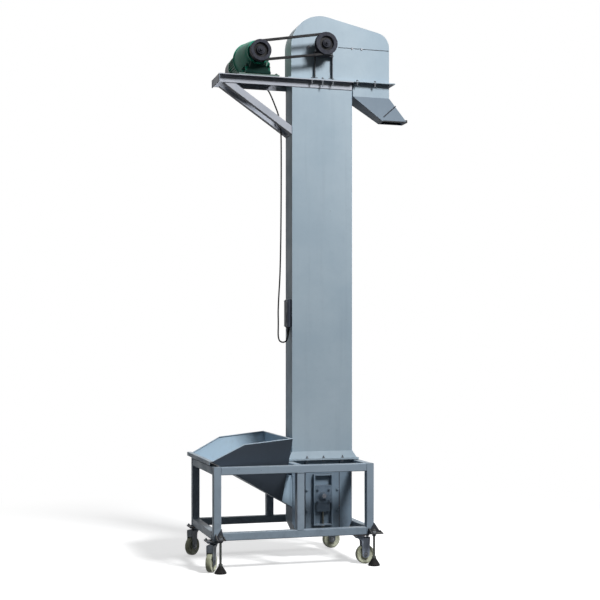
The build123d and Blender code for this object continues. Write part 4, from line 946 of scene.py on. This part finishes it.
# Pale zinc studs round the cowl: painted highlights standing in for the light specks of its vent holes
for row in range(cowlShape["rows"]):
    for index in range(cowlShape["around"]):
        turn = (index + row % 2 / 2) * math.tau / cowlShape["around"]
        radial = Vector((math.cos(turn), 0, math.sin(turn)))
        spot = Vector((driveX, cowlShape["front"] + 0.018 + row * 0.0125, driveZ)) + radial * (cowlShape["radius"] - 0.001)
        addDisc(cowlHighlightSpecks, spot, radial, cowlShape["hole"], 0.0014, 8)
mendNormals(cowlBands)
finishPiece("cowlBands", cowlBands, cowlPaint)
finishPiece("cowlStuds", cowlHighlightSpecks, zincSteel)
print("gearmotor fitted")

# Cable glands with tapered sleeves, and the switch box's lid
glandShape = {"nut": 0.021, "nutHigh": 0.007, "sleeve": 0.036, "wide": 0.0078, "narrow": 0.0055}
glands, sleeves = bmesh.new(), bmesh.new()
for spot, top in ((cableStart, boxLow[2] + 0.024), (cableEnd, switchBox[0][2] + 0.024)):
    upper = Vector((spot.x, spot.y, top))
    addNut(glands, upper - Vector((0, 0, glandShape["nutHigh"])), (0, 0, 1), glandShape["nut"], glandShape["nutHigh"])
    addNut(glands, Vector((spot.x, spot.y, spot.z)), (0, 0, 1), 0.019, 0.011)
    addDisc(sleeves, Vector((spot.x, spot.y, spot.z + 0.004)), (0, 0, -1), glandShape["wide"], 0.034, 24, glandShape["narrow"])
    for index in range(4):
        ringZ = spot.z - 0.003 - index * 0.0065
        addDisc(sleeves, Vector((spot.x, spot.y, ringZ)), (0, 0, -1), glandShape["wide"] + 0.0006 - index * 0.0004, 0.0030, 20)
finishPiece("cableGlands", glands, boxPlastic)
finishPiece("cableSleeves", sleeves, cableSheath)
boxX, boxY = switchBox[0][0], (switchBox[0][1], switchBox[1][1])
switchZ = (switchBox[0][2] + 0.024, switchBox[1][2])
cover = bmesh.new()
addBlock(cover, (boxX - 0.004, boxY[0] + 0.005, switchZ[0] + 0.005), (boxX, boxY[1] - 0.005, switchZ[1] - 0.005))
addBlock(cover, (boxX - 0.0065, boxY[0] + 0.018, switchZ[0] + 0.030), (boxX - 0.004, boxY[1] - 0.018, switchZ[0] + 0.095))
finishPiece("switchCover", cover, boxPlastic)
coverScrews = bmesh.new()
for y in (boxY[0] + 0.012, boxY[1] - 0.012):
    for z in (switchZ[0] + 0.012, switchZ[1] - 0.012):
        addDisc(coverScrews, (boxX - 0.004, y, z), (-1, 0, 0), 0.0038, 0.0022, 14, 0.003)
finishPiece("switchScrews", coverScrews, boltSteel)
print("switch box and glands fitted")

# Discharge: a lapped strip on the chute's front and painted shade round its mouth, a black edge
chuteLow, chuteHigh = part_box("discharge_chute")
chuteShape = {"mouthLeft": 0.228, "mouthWide": 0.176, "halfDeep": 0.050, "edge": 0.018, "thick": 0.003, "lap": 0.007}
mouthX = (chuteLow[0] + chuteShape["mouthLeft"], chuteHigh[0])
mouthY = (midY - chuteShape["halfDeep"], midY + chuteShape["halfDeep"])
mouth, lap = bmesh.new(), bmesh.new()
mouthZ = chuteLow[2] + chuteShape["edge"] / 2
for y in mouthY:
    addBar(mouth, (mouthX[0], y, mouthZ), (mouthX[1], y, mouthZ), chuteShape["thick"], chuteShape["edge"], (0, 1, 0))
for x in mouthX:
    addBar(mouth, (x, mouthY[0], mouthZ), (x, mouthY[1], mouthZ), chuteShape["thick"], chuteShape["edge"], (1, 0, 0))
for side, y in ((-1, casingFront), (1, casingRear)):
    deep = abs(y - midY)
    spots = []
    for x, z in ((0.740, 3.073), (0.659, 2.998)):
        drop = (chuteHigh[2] - z) / (chuteHigh[2] - chuteLow[2])
        spots.append(Vector((casingLeft + x, midY + side * (deep + (chuteShape["halfDeep"] - deep) * drop + 0.0012), z)))
    addBar(lap, spots[0], spots[1], 0.003, chuteShape["lap"], (0, 1, 0))
finishPiece("chuteMouthShade", mouth, cowlPaint)
finishPiece("chuteLap", lap, darkPaint)

# Weld beads on the platform, the braces and the jack brackets
platformWelds = bmesh.new()
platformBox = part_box("platform_frame")
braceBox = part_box("braces")
for y in (platformBox[0][1] + 0.001, platformBox[1][1] - 0.001):
    start = (platformBox[0][0] + 0.002, y, platformBox[0][2] + 0.004)
    addWeld(platformWelds, start, (start[0], y, platformBox[1][2] - 0.004), 0.0026)
for y in (braceBox[0][1], braceBox[1][1]):
    addWeld(platformWelds, (braceBox[0][0] + 0.006, y, braceBox[1][2]), (braceBox[0][0] + 0.062, y, braceBox[1][2]), 0.0032)
    addWeld(platformWelds, (casingLeft, y, braceBox[0][2] + 0.006), (casingLeft, y, braceBox[0][2] + 0.06), 0.0032)
for x in (leftX + tube, rightX - tube):
    addWeld(platformWelds, (x + 0.001, frontY, 0.213), (x + 0.001, frontY, 0.268), 0.003)
finishPiece("platformWelds", platformWelds, framePaint, sharp=60)
print("welds laid")

# Lights and floor
lightLook = {"sky": 0.11, "key": 900, "keySize": 2.0, "top": 70, "floorBounce": 0.03}


def addLight(name, place, target, power, size):
    light = bpy.data.lights.new(name, "AREA")
    light.energy = power
    light.size = size
    lamp = bpy.data.objects.new(name, light)
    lamp.location = place
    lamp.rotation_euler = (Vector(target) - Vector(place)).to_track_quat("-Z", "Y").to_euler()
    bpy.context.collection.objects.link(lamp)


addLight("keyLight", (3.0, -6.0, 7.6), (0, 0, 2.2), lightLook["key"], lightLook["keySize"])
addLight("topLight", (0.4, 1.4, 6.6), (0, 0, 2.0), lightLook["top"], 3.0)

# One for the rays that see the white room: camera, mirror and see-through rays
def seenRays(tree):
    paths = tree.nodes.new("ShaderNodeLightPath")
    value = paths.outputs["Is Camera Ray"]
    for ray in ("Is Glossy Ray", "Is Transmission Ray"):
        node = tree.nodes.new("ShaderNodeMath")
        node.operation = "MAXIMUM"
        tree.links.new(value, node.inputs[0])
        tree.links.new(paths.outputs[ray], node.inputs[1])
        value = node.outputs[0]
    return value


world = bpy.data.worlds.new("studio")
bpy.context.scene.world = world
world.use_nodes = True
tree = world.node_tree
tree.nodes.clear()
outlet = tree.nodes.new("ShaderNodeOutputWorld")
white = tree.nodes.new("ShaderNodeBackground")
white.inputs["Color"].default_value = (1, 1, 1, 1)
white.inputs["Strength"].default_value = 1.0
sky = tree.nodes.new("ShaderNodeBackground")
sky.inputs["Color"].default_value = (0.95, 0.97, 1.0, 1)
sky.inputs["Strength"].default_value = lightLook["sky"]
choose = tree.nodes.new("ShaderNodeMixShader")
tree.links.new(seenRays(tree), choose.inputs[0])
tree.links.new(sky.outputs[0], choose.inputs[1])
tree.links.new(white.outputs[0], choose.inputs[2])
tree.links.new(choose.outputs[0], outlet.inputs[0])

floorMesh = bmesh.new()
bmesh.ops.create_grid(floorMesh, x_segments=1, y_segments=1, size=40)
floorData = bpy.data.meshes.new("floor")
floorMesh.to_mesh(floorData)
floorMesh.free()
studioFloor = bpy.data.objects.new("floor", floorData)
bpy.context.collection.objects.link(studioFloor)
floorMaterial = bpy.data.materials.new("floorPale")
floorMaterial.use_nodes = True
tree = floorMaterial.node_tree
tree.nodes.clear()
outlet = tree.nodes.new("ShaderNodeOutputMaterial")
pale = tree.nodes.new("ShaderNodeBsdfDiffuse")
pale.inputs["Color"].default_value = (0.9, 0.9, 0.9, 1)
glow = tree.nodes.new("ShaderNodeEmission")
glow.inputs["Strength"].default_value = 0.55
both = tree.nodes.new("ShaderNodeAddShader")
plain = tree.nodes.new("ShaderNodeEmission")
away = tree.nodes.new("ShaderNodeVectorMath")
away.operation = "LENGTH"
tree.links.new(tree.nodes.new("ShaderNodeTexCoord").outputs["Object"], away.inputs[0])
blend = tree.nodes.new("ShaderNodeMixShader")
tree.links.new(ranged(tree, away.outputs["Value"], 1.6, 4.0), blend.inputs[0])
dull = tree.nodes.new("ShaderNodeBsdfDiffuse")
dull.inputs["Color"].default_value = (lightLook["floorBounce"],) * 3 + (1,)
choose = tree.nodes.new("ShaderNodeMixShader")
tree.links.new(pale.outputs[0], both.inputs[0])
tree.links.new(glow.outputs[0], both.inputs[1])
tree.links.new(seenRays(tree), choose.inputs[0])
tree.links.new(dull.outputs[0], choose.inputs[1])
tree.links.new(both.outputs[0], blend.inputs[1])
tree.links.new(plain.outputs[0], blend.inputs[2])
tree.links.new(blend.outputs[0], choose.inputs[2])
tree.links.new(choose.outputs[0], outlet.inputs[0])
floorData.materials.append(floorMaterial)
print("lights and floor set")
